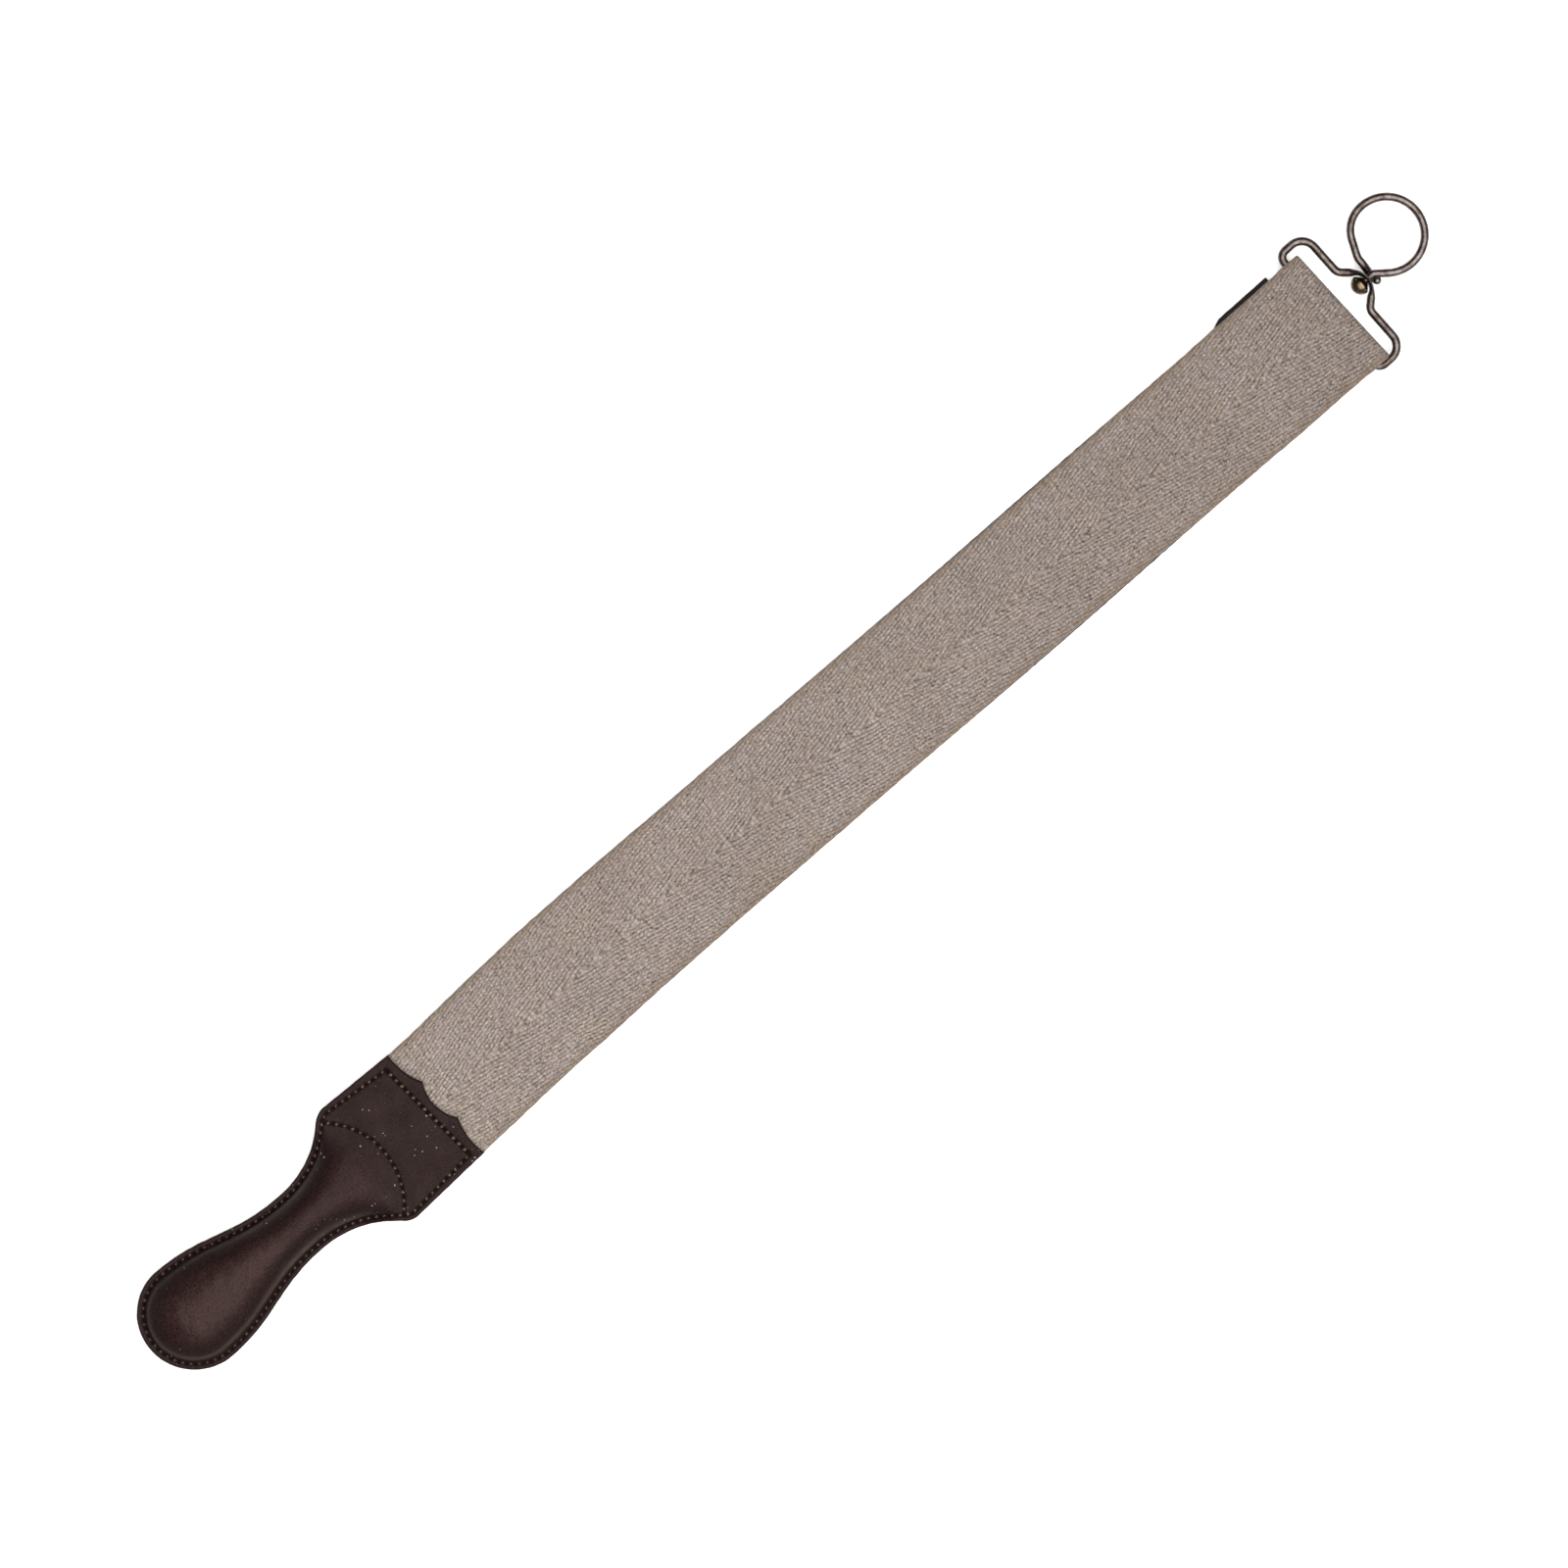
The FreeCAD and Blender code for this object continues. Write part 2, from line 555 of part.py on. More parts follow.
def build_hanger_frame():
    body = new_body("hanger_frame", from_bar)
    path = new_sketch(body, "half_path", "XY_Plane")
    draw_chain(path, frame_half())
    section = new_sketch(body, "wire_section", "XZ_Plane")
    draw_circle(section, dim("frame_wire") / 2, "dims.frame_wire / 2")
    sweep = add_pipe(body, "half_wire", section, path)
    doc.recompute()
    mirror = body.newObject("PartDesign::Mirrored", "other_half")
    mirror.Originals = [sweep]
    mirror.MirrorPlane = (next(item for item in body.Origin.OriginFeatures if item.Role == "XZ_Plane"), [""])
    body.Tip = mirror
    sketches = []
    for number, (place, angle, thick, height) in enumerate(eye_sections()):
        # The XZ plane's own axes are X, Z and -Y, so a turn about Z is a turn about the sketch's y axis.
        sketch = new_sketch(body, f"eye_section_{number}", "XZ_Plane", V(place.x, 0, -place.y),
                            FreeCAD.Rotation(V(0, 1, 0), angle))
        major, minor = (V(thick, 0, 0), V(0, height, 0))
        if height > thick:
            major, minor = V(0, height, 0), V(-thick, 0, 0)
        if abs(height - thick) < 1e-6:
            sketch.addGeometry(Part.Circle(V(0, 0, 0), V(0, 0, 1), thick), False)
        else:
            sketch.addGeometry(Part.Ellipse(major, minor, V(0, 0, 0)), False)
        sketches.append(sketch)
    loft = body.newObject("PartDesign::AdditiveLoft", "eye")
    loft.Profile = sketches[0]
    loft.Sections = sketches[1:]
    loft.Ruled = False
    doc.recompute()
    before = loft.Shape.Volume
    hole = new_sketch(body, "shank_hole", "YZ_Plane", V(0, 0, dim("eye_top") + dim("eye_thickness")))
    bore = dim("shank_radius") + dim("shank_clearance")
    draw_circle(hole, bore, "dims.shank_radius + dims.shank_clearance")
    pocket = body.newObject("PartDesign::Pocket", "shank_bore")
    pocket.Profile = hole
    pocket.setExpression("Length", "dims.eye_thickness * 2")
    doc.recompute()
    if pocket.Shape.Volume >= before - 1:
        raise RuntimeError("the eye's bore cut nothing")


def ring_path():
    """Ring wire in its plane: out of the eye, bent to the ring, once round and back in a straight leg."""
    radius, bend = dim("ring_radius"), dim("leg_bend")
    centre_x = dim("overall_length") - bar_distance - radius - dim("ring_wire") / 2
    across, up = centre_x - dim("leg_start"), dim("ring_offset") + bend
    turn = math.degrees(math.asin((radius + bend) / math.hypot(across, up)) - math.atan2(up, across))
    pen = Pen(dim("shank_step"), 0, 0)
    pen.line(dim("leg_start") - dim("shank_step"))
    pen.arc(bend, -turn, "leg_bend")
    slope = math.radians(turn)
    pen.line((centre_x - pen.x) * math.cos(slope) - (dim("ring_offset") - pen.y) * math.sin(slope))
    pen.arc(radius, dim("round_until") + turn, "ring_radius")
    pen.arc(dim("closing_radius"), dim("closing_heading") - dim("round_until"), "closing_radius")
    heading = math.radians(dim("closing_heading"))
    leg_end = dim("curl_place") + dim("leg_exit_radius") * (1 + math.sin(heading))
    pen.line((leg_end - pen.x) / math.cos(heading))
    pen.arc(dim("leg_exit_radius"), 270 - dim("closing_heading"), "leg_exit_radius")
    return pen


def curl_path(start):
    """End of the ring wire in the plane across the swivel axis: down behind the shank and up beside it."""
    lead, curl = dim("curl_approach"), dim("curl_radius")
    drop = math.degrees(math.atan2(start, lead) - math.acos((curl + lead) / math.hypot(start, lead)))
    pen = Pen(start, 0, 180)
    pen.arc(lead, drop, "curl_approach")
    slope = math.radians(drop)
    pen.line((pen.x - curl * math.sin(slope)) / math.cos(slope))
    pen.arc(curl, -drop - dim("curl_end"), "curl_radius")
    return pen


def build_swivel_ring():
    body = new_body("swivel_ring", from_bar)
    path = new_sketch(body, "ring_path", "XY_Plane")
    pen = ring_path()
    draw_chain(path, pen)
    section = new_sketch(body, "ring_section", "YZ_Plane", V(0, 0, dim("shank_step")))
    draw_circle(section, dim("ring_wire") / 2, "dims.ring_wire / 2")
    add_pipe(body, "ring_wire_sweep", section, path)
    curl = new_sketch(body, "curl_path", "YZ_Plane", V(0, 0, pen.x))
    draw_chain(curl, curl_path(pen.y))
    curl_section = new_sketch(body, "curl_section", "XZ_Plane", V(0, 0, -pen.y))
    draw_circle(curl_section, dim("ring_wire") / 2, "dims.ring_wire / 2", V(pen.x, 0, 0))
    add_pipe(body, "curl_sweep", curl_section, curl)
    wire_end = math.radians(dim("curl_end"))
    tip = body.newObject("PartDesign::AdditiveSphere", "wire_tip")
    tip.setExpression("Radius", "dims.ring_wire / 2")
    tip.AttachmentOffset = FreeCAD.Placement(
        V(pen.x, -dim("curl_radius") * math.sin(wire_end), -dim("curl_radius") * math.cos(wire_end)),
        FreeCAD.Rotation())
    tip.AttachmentSupport = [(next(o for o in body.Origin.OriginFeatures if o.Role == "XY_Plane"), "")]
    tip.MapMode = "FlatFace"
    shank = new_sketch(body, "shank_section", "YZ_Plane", V(0, 0, dim("shank_start")))
    draw_circle(shank, dim("shank_radius"), "dims.shank_radius")
    pad = body.newObject("PartDesign::Pad", "shank")
    pad.Profile = shank
    pad.setExpression("Length", "dims.shank_step - dims.shank_start + 0.4")


def build_swivel_button():
    """Domed head on the shank's end, hollow for the shank, on the strap side of the eye."""
    body = new_body("swivel_button", from_bar)
    sketch = new_sketch(body, "button_section", "XY_Plane")
    radius, seat, face = dim("button_radius"), dim("button_seat"), dim("button_face")
    shank, start = dim("shank_radius"), dim("shank_start")
    tip, waist = V(seat - radius, 0, 0), V(seat, radius, 0)
    middle = V(seat - radius * math.cos(math.pi / 4), radius * math.sin(math.pi / 4), 0)
    corners = [waist, V(face, dim("button_neck"), 0), V(face, shank, 0), V(start, shank, 0), V(start, 0, 0),
               tip]
    sketch.addGeometry(Part.Arc(tip, middle, waist), False)
    for corner, following in zip(corners, corners[1:]):
        sketch.addGeometry(Part.LineSegment(corner, following), False)
    number = sketch.addConstraint(Sketcher.Constraint("Radius", 0, radius))
    sketch.setExpression(f"Constraints[{number}]", "dims.button_radius")
    turn = body.newObject("PartDesign::Revolution", "button")
    turn.Profile = sketch
    turn.ReferenceAxis = (sketch, ["H_Axis"])
    turn.Angle = 360


build_back_panel()
build_front_panel()
build_grip_core()
build_canvas_strap()
build_leather_strap()
build_stitching()
build_hanger_frame()
build_swivel_ring()
build_swivel_button()
doc.recompute()

for item in doc.Objects:
    if "Invalid" in item.State or "Error" in item.State:
        raise RuntimeError(f"{item.Name} failed: {item.State}")
for piece in pieces:
    if piece.Shape.isNull() or not piece.Shape.isValid():
        raise RuntimeError(f"{piece.Label} has no valid shape")
    box = piece.Shape.BoundBox
    print(f"{piece.Label}: {len(piece.Shape.Solids)} solids, {piece.Shape.Volume:.0f} mm3, x {box.XMin:.1f} "
          f"{box.XMax:.1f}, y {box.YMin:.1f} {box.YMax:.1f}, z {box.ZMin:.2f} {box.ZMax:.2f}")
    piece.Shape.exportStep(f"parts/{piece.Label}.step")
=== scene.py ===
# Looks of a leather strop, laid canvas side up, in the frame's own coordinates: +X from the handle to the
# ring and +Z out of the canvas. Lengths are millimetres until a mesh is made; the studio is in metres.
import json
import math

import bpy
import numpy as np
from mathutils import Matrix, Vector, geometry


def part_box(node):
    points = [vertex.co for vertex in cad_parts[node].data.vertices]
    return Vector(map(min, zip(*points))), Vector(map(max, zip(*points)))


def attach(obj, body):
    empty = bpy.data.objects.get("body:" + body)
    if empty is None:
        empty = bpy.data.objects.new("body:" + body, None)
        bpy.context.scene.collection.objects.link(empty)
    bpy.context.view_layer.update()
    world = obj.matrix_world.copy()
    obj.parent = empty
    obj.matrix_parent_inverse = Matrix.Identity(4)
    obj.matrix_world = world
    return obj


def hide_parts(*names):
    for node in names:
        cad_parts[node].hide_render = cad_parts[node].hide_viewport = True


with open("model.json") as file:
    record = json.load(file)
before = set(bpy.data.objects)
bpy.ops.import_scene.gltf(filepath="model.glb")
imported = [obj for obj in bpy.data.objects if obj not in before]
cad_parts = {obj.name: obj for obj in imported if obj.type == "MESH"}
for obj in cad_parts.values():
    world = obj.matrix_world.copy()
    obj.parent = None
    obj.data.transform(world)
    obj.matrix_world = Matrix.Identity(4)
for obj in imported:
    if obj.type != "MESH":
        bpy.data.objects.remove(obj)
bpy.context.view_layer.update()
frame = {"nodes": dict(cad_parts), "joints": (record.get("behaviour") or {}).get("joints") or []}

MM = 0.001


def box_mm(node):
    low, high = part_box(node)
    return np.array(low) / MM, np.array(high) / MM


def joint_place(name):
    joint = next(item for item in frame["joints"] if item["name"] == name)
    return np.array(joint["pos_m"]) / MM


# ---------------------------------------------------------------- driving dimensions

PANEL, CANVAS, LEATHER, GAP = 2.2, 2.2, 2.6, 0.05
HANDLE_END = box_mm("handle_back_panel")[0][0]
STRAP_START = box_mm("leather_strap")[0][0]
FOLD_END = box_mm("canvas_strap")[1][0]
LEATHER_END = box_mm("leather_strap")[1][0]
HALF_STRAP = box_mm("canvas_strap")[1][1]
BAR = joint_place("hanger_hinge")
TAIL_LENGTH = 39.0
NOSE_RADIUS = 21.2
MARGIN = 3.4
DOME = 9.0
ARC_RADIUS = 30.8
ARC_APEX = 114.6
POCKET_END = 140.3
CUSP_END = 142.9
CUSP_SIDE = 9.3
EDGE_SKEW = math.radians(3.3)
GRIP_SEAM, POCKET_SEAM, TOP_SEAM = 2.3, 3.5, 3.9
PITCH = 3.05
THREAD = 0.36
SLANT = 8.0
PEAK = 0.5
RISE_START, RISE_RUN, SETTLE_RUN = 146, 56, 44
RIM_STEP, NET_COARSE, NET_FINE = 0.55, 0.75, 0.36
MARGIN_TOP = 2 * PANEL
POCKET_TOP = PANEL + LEATHER + CANVAS + PANEL


# ---------------------------------------------------------------- plane curves

class Pen:
    """Walks along lines and arcs that are tangent where they meet and keeps points of the way."""

    def __init__(self, x, y, heading, hand=1, step=0.4):
        self.x, self.y, self.heading = x, y, math.radians(heading * hand)
        self.hand, self.step = hand, step
        self.points = [(x, y)]
        self.normals = [self.normal()]

    def normal(self):
        return (-math.sin(self.heading), math.cos(self.heading))

    def line(self, length):
        count = max(1, math.ceil(abs(length) / self.step))
        start = (self.x, self.y)
        for number in range(1, count + 1):
            share = number / count
            self.x = start[0] + share * length * math.cos(self.heading)
            self.y = start[1] + share * length * math.sin(self.heading)
            self.points.append((self.x, self.y))
            self.normals.append(self.normal())
        return self

    def arc(self, radius, turn):
        turn = math.radians(turn * self.hand)
        side = math.copysign(1.0, turn)
        count = max(2, math.ceil(max(radius * abs(turn) / self.step, abs(turn) / math.radians(7))))
        centre = (self.x - side * radius * math.sin(self.heading),
                  self.y + side * radius * math.cos(self.heading))
        for _ in range(count):
            self.heading += turn / count
            self.x = centre[0] + side * radius * math.sin(self.heading)
            self.y = centre[1] - side * radius * math.cos(self.heading)
            self.points.append((self.x, self.y))
            self.normals.append(self.normal())
        return self

    def to(self, x):
        return self.line((x - self.x) / math.cos(self.heading))

    def s_bend(self, run, rise):
        """Two equal arcs along by run and up by rise, level again at the end."""
        radius = (run ** 2 + rise ** 2) / (4 * abs(rise))
        turn = math.degrees(math.asin(run / (2 * radius)))
        return self.arc(radius, math.copysign(turn, rise)).arc(radius, -math.copysign(turn, rise))


def resample(points, spacing):
    """Points at equal steps along a line of points, ends kept."""
    points = np.asarray(points, float)
    run = np.concatenate([[0], np.cumsum(np.linalg.norm(np.diff(points, axis=0), axis=1))])
    at = np.linspace(0, run[-1], max(2, round(run[-1] / spacing) + 1))
    return np.stack([np.interp(at, run, points[:, axis]) for axis in range(points.shape[1])], axis=1)


def distance_to(points, line):
    """Distance of each point from a line of points, and how far along the line the nearest place is."""
    line = np.asarray(line, float)
    start, way = line[:-1], np.diff(line, axis=0)
    length = np.linalg.norm(way, axis=1)
    before = np.concatenate([[0], np.cumsum(length)[:-1]])
    best, along = np.empty(len(points)), np.empty(len(points))
    for first in range(0, len(points), 4000):
        part = points[first:first + 4000]
        off = part[:, None, :] - start[None]
        share = np.clip((off * way).sum(2) / np.maximum(length ** 2, 1e-12), 0, 1)
        gap = np.linalg.norm(off - share[..., None] * way, axis=2)
        nearest = gap.argmin(1)
        rows = np.arange(len(part))
        best[first:first + 4000] = gap[rows, nearest]
        along[first:first + 4000] = before[nearest] + share[rows, nearest] * length[nearest]
    return best, along


def smooth(share):
    share = np.clip(share, 0, 1)
    return share * share * (3 - 2 * share)


def curve(x, *knots):
    """Smooth curve through a few given knots, level beyond the first and the last."""
    at, value = np.array(knots, float).T
    slope = np.gradient(value, at)
    x = np.clip(x, at[0], at[-1])
    left = np.clip(np.searchsorted(at, x) - 1, 0, len(at) - 2)
    span = at[left + 1] - at[left]
    share = (x - at[left]) / span
    rest = 1 - share
    return (value[left] * (1 + 2 * share) * rest ** 2 + value[left + 1] * (1 + 2 * rest) * share ** 2
            + span * share * rest * (slope[left] * rest - slope[left + 1] * share))


def waves(x, y, scale, seed):
    """Gentle unevenness between about -1 and 1, with features about scale long."""
    rng = np.random.default_rng(seed)
    total = 0.0
    for _ in range(6):
        angle = rng.uniform(0, 2 * math.pi)
        shift = rng.uniform(0, 2 * math.pi)
        stretch = rng.uniform(0.6, 1.6)
        way = x * math.cos(angle) + y * math.sin(angle)
        total = total + np.sin(way * 2 * math.pi * stretch / scale + shift)
    return total / 3.5


# ---------------------------------------------------------------- handle outline and heights

def handle_side(inset=0.0, hand=1, step=0.4):
    pen = Pen(inset, 0, 90, hand, step)
    pen.arc(NOSE_RADIUS - inset, -90).arc(75.0 - inset, -15.5).line(10.7).arc(78.5 + inset, 15.5)
    pen.line(1.0).arc(42.0 + inset, 44.0).arc(8.0 - inset, -46.2)
    return pen


SIDE = np.array(handle_side().to(CUSP_END + 8).points)


def half_width(x):
    return np.interp(x, SIDE[:, 0], SIDE[:, 1])


def skewed(x, y):
    """A place on the scalloped edge or its seam, turned by the edge's skew."""
    return (POCKET_END + (x - POCKET_END) * math.cos(EDGE_SKEW) - y * math.sin(EDGE_SKEW),
            y * math.cos(EDGE_SKEW) + (x - POCKET_END) * math.sin(EDGE_SKEW))


def scallops(step):
    """The scalloped edge from the +Y corner to the -Y corner."""
    outer, middle = 27.5, 16.6
    valley = CUSP_SIDE + math.sqrt(outer ** 2 - (outer - (CUSP_END - POCKET_END)) ** 2)
    corner = float(half_width(POCKET_END))
    points = []
    for high, low, centre, radius, base in (
            (corner, CUSP_SIDE, valley, outer, POCKET_END),
            (CUSP_SIDE, -CUSP_SIDE, 0.0, middle, CUSP_END - middle + math.sqrt(middle ** 2 - CUSP_SIDE ** 2)),
            (-CUSP_SIDE, -corner, -valley, outer, POCKET_END)):
        for y in np.linspace(high, low, max(3, round((high - low) / step))):
            points.append(skewed(base + radius - math.sqrt(radius ** 2 - (y - centre) ** 2), y))
    return points


def outline(step):
    """Closed outline of a handle panel, anticlockwise from the round end's tip, without a repeated point."""
    lower, upper = handle_side(hand=-1, step=step).points, handle_side(step=step).points
    edge = scallops(step)
    ring = lower + resample([lower[-1], edge[-1]], step)[1:-1].tolist() + edge[::-1]
    ring += resample([edge[0], upper[-1]], step)[1:-1].tolist() + upper[::-1][:-1]
    kept = [ring[0]]
    for point in ring[1:]:
        if math.dist(point, kept[-1]) > 0.3 * step:
            kept.append(point)
    kept = np.array(kept)
    return offset_loop(kept, (0.03 + 0.06 * waves(kept[:, 0], kept[:, 1], 7.5, 21))[:, None])


def dome_height(x, y, peak=0.0):
    """Height of the front panel without its seams: flat margin, padding, flat pocket. With peak above 0 the
    padding falls away sooner beside its crown."""
    side_depth = half_width(x) - np.abs(y)
    nose_depth = NOSE_RADIUS - np.hypot(x - NOSE_RADIUS, y)
    depth = np.where(x < NOSE_RADIUS, nose_depth, side_depth)
    reach = np.where(x < NOSE_RADIUS, NOSE_RADIUS - MARGIN, half_width(x) - MARGIN)
    share = np.clip((depth - MARGIN + 0.8) / (reach + 0.8), 0, 1)
    padding = DOME * (1 - 0.1 * smooth((x - NOSE_RADIUS) / (2 * NOSE_RADIUS)))
    low = 1 - (1 - share) ** 2
    foot = smooth(share / 0.12) if peak else 1.0
    dome = MARGIN_TOP + padding * foot * ((1 - peak) * np.sqrt(low) + peak * low)
    from_centre = np.hypot(x - (ARC_APEX - ARC_RADIUS), y)
    level = np.where(x > ARC_APEX - ARC_RADIUS, smooth((from_centre / ARC_RADIUS - 0.5) / 0.47), 0)
    return dome + level * (POCKET_TOP - dome)


def edge_seam():
    parts = []
    for hand in (1, -1):
        pen = handle_side(GRIP_SEAM, hand)
        end = skewed(POCKET_END - TOP_SEAM, hand * (float(half_width(POCKET_END)) - POCKET_SEAM))
        parts.append(pen.points + [end])
    return np.array(parts[0][::-1] + parts[1][1:])


def arc_seam():
    reach = math.asin(22.4 / ARC_RADIUS)
    centre = ARC_APEX - ARC_RADIUS
    return np.array([(centre + ARC_RADIUS * math.cos(a), ARC_RADIUS * math.sin(a))
                     for a in np.linspace(reach, -reach, 60)])


def top_seam():
    return np.array([skewed(POCKET_END - TOP_SEAM, side) for side in np.linspace(21.0, -21.0, 60)])


SEAMS = {"edge": edge_seam(), "arc": arc_seam(), "top": top_seam()}


def seam_relief(points):
    """Height lost at the seams, and how deep in a seam's crease each point is, from 0 to 1."""
    loss, crease = np.zeros(len(points)), np.zeros(len(points))
    for name, line in SEAMS.items():
        gap, along = distance_to(points, line)
        length = np.linalg.norm(np.diff(line, axis=0), axis=1).sum()
        phase = along / (length / round(length / PITCH))
        hole = 0.5 + 0.5 * np.cos(2 * np.pi * phase)
        groove = np.exp(-(gap / 0.55) ** 2)
        pucker = np.exp(-(gap / 1.9) ** 2)
        loss += 0.34 * groove + 0.34 * hole ** 3 * np.exp(-(gap / 0.5) ** 2) + pucker * (0.10 + 0.09 * hole)
        width, steady = (0.80, 0.75) if name == "top" else (0.42, 0.22)
        crease = np.maximum(crease, np.exp(-(gap / width) ** 4) * (steady + (1 - steady) * hole ** 1.5))
    return loss, crease


def handle_sway(x):
    """How far the stitched handle bends sideways along its length."""
    return curve(x, (3, 1.0), (27, 0.4), (52, 0.0), (75, -0.28), (91, -0.5), (140, -0.5))


# ---------------------------------------------------------------- mesh helpers

def make_object(name, points_mm, faces, attributes):
    """A smooth-shaded piece on the strop's own body, with point attributes for the materials."""
    mesh = bpy.data.meshes.new(name)
    mesh.from_pydata((np.asarray(points_mm) * MM).tolist(), [], faces)
    mesh.validate()
    mesh.update()
    for key, values in attributes.items():
        values = np.asarray(values, np.float32)
        kind = "FLOAT" if values.ndim == 1 else "FLOAT_VECTOR"
        layer = mesh.attributes.new(key, kind, "POINT")
        layer.data.foreach_set("value" if kind == "FLOAT" else "vector", values.ravel())
    mesh.shade_smooth()
    piece = bpy.data.objects.new(name, mesh)
    bpy.context.scene.collection.objects.link(piece)
    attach(piece, "root")
    return piece


def offset_loop(loop, inset):
    """The outline moved inwards, point by point, along its own normals."""
    before, after = np.roll(loop, 1, axis=0), np.roll(loop, -1, axis=0)
    way = after - before
    way /= np.linalg.norm(way, axis=1)[:, None]
    return loop + inset * np.stack([-way[:, 1], way[:, 0]], axis=1)


def panel_net():
    """Triangles that fill the outline, finest along the seams, with inner loops for the rounded edge."""
    rim = outline(RIM_STEP)
    insets = (0.0, 0.14, 0.34, 0.62, 0.95)
    loops = [offset_loop(rim, inset) for inset in insets]
    low, high = rim.min(0), rim.max(0)
    candidates = []
    for spacing, near_seams in ((NET_COARSE, False), (NET_FINE, True)):
        columns = np.arange(low[0], high[0], spacing)
        rows = np.arange(low[1], high[1], spacing * 0.866)
        grid = np.array([(x + (spacing / 2 if number % 2 else 0), y)
                         for number, y in enumerate(rows) for x in columns])
        closed = np.vstack([rim, rim[:1]])
        near_rim = distance_to(grid, closed)[0]
        seam_gap = np.min([distance_to(grid, line)[0] for line in SEAMS.values()], axis=0)
        inside = inside_of(grid, rim) & (near_rim > insets[-1] + 0.3)
        band = seam_gap < 1.5
        candidates.append(grid[inside & (band if near_seams else ~band)])
    count = len(rim)
    points = np.vstack(loops + candidates)
    edges = [(k * count + i, k * count + (i + 1) % count) for k in range(len(insets)) for i in range(count)]
    result = geometry.delaunay_2d_cdt([Vector(p) for p in points], edges, [list(range(count))], 1, 1e-5)
    flat = np.array([tuple(v) for v in result[0]])
    faces = [tuple(face) for face in result[2]]
    return flat, faces, rim


def inside_of(points, ring):
    """Which points lie inside a closed ring of points."""
    inside = np.zeros(len(points), bool)
    after = np.roll(ring, -1, axis=0)
    for (x0, y0), (x1, y1) in zip(ring, after):
        if y0 == y1:
            continue
        crosses = ((y0 > points[:, 1]) != (y1 > points[:, 1]))
        inside ^= crosses & (points[:, 0] < (x1 - x0) * (points[:, 1] - y0) / (y1 - y0) + x0)
    return inside


NET = panel_net()


def build_panel(name, node, top, bottom, attributes, round_top, round_bottom):
    """Closed leather panel between two height fields over the handle's outline, with rounded cut edges."""
    flat, faces, rim = NET
    rim_gap = distance_to(flat, np.vstack([rim, rim[:1]]))[0]
    thickness = top - bottom
    lift = []
    for radius in (round_top, round_bottom):
        inward = np.clip(rim_gap / radius, 0, 1)
        lift.append(radius * (1 - np.sqrt(1 - (1 - inward) ** 2)))
    upper = np.column_stack([flat, top - np.minimum(lift[0], thickness * 0.45)])
    lower = np.column_stack([flat, bottom + np.minimum(lift[1], thickness * 0.45)])
    total = len(flat)
    points = np.vstack([upper, lower])
    solid = list(faces) + [tuple(total + i for i in reversed(face)) for face in faces]
    border = {}
    for face in faces:
        for a, b in zip(face, face[1:] + face[:1]):
            border[(a, b)] = True
    for a, b in list(border):
        if (b, a) not in border:
            solid.append((b, a, total + a, total + b))
    points[:, 1] += handle_sway(points[:, 0])
    points[:, 0] += HANDLE_END
    both = {key: np.concatenate([values, values]) for key, values in attributes.items()}
    both["edge"] = np.concatenate([np.exp(-rim_gap / 0.5)] * 2)
    piece = make_object(name, points, solid, both)
    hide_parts(node)
    return piece


def build_handle():
    flat, _, outer = NET
    x, y = flat[:, 0], flat[:, 1]
    dome, surface = dome_height(x, y), dome_height(x, y, PEAK)
    loss, crease = seam_relief(flat)
    rim_gap = distance_to(flat, np.vstack([outer, outer[:1]]))[0]
    calm = smooth(rim_gap / 4.0)
    top = surface - loss + calm * (0.16 * waves(x, y, 26, 3) + 0.07 * waves(x, y, 9, 4))
    reach = 0.5
    tilt = np.hypot(dome_height(x + reach, y, PEAK) - dome_height(x - reach, y, PEAK),
                    dome_height(x, y + reach, PEAK) - dome_height(x, y - reach, PEAK)) / (2 * reach)
    # crown marks the padding's high, flat top, reaching further near the round end and weaker towards the
    # pocket; the leather is painted lighter there as a painted highlight, and is also less rough there.
    toe = 1.3 * smooth((60 - x) / 30)
    crown = smooth((surface - POCKET_TOP + 0.3 + toe) / (3.2 + toe)) * smooth(1.3 - tilt / 0.62)
    crown *= 0.96 - 0.50 * smooth((x - 52) / 22)
    # rim is a painted highlight: a lighter band about 4 mm in from the cut edge, strongest on the -Y side and
    # gone before the pocket.
    rim = np.exp(-((rim_gap - 4.3) / 0.9) ** 2) * (0.22 + 0.78 * smooth(0.5 - y / 12)) * smooth((98 - x) / 14)
    underside = np.minimum(dome - PANEL, surface - 1.3)
    front = build_panel("handle_front", "handle_front_panel", top, underside,
                        {"crease": crease, "crown": crown, "rim": rim}, 0.75, 0.35)
    underside = np.maximum(0.52 * np.minimum(loss / 0.62, 1) + 0.05 * waves(x, y, 20, 5) + 0.06, 0.0)
    back = build_panel("handle_back", "handle_back_panel", np.full(len(flat), PANEL), underside,
                       {"crease": crease}, 0.3, 0.7)
    return front, back


# ---------------------------------------------------------------- stitches

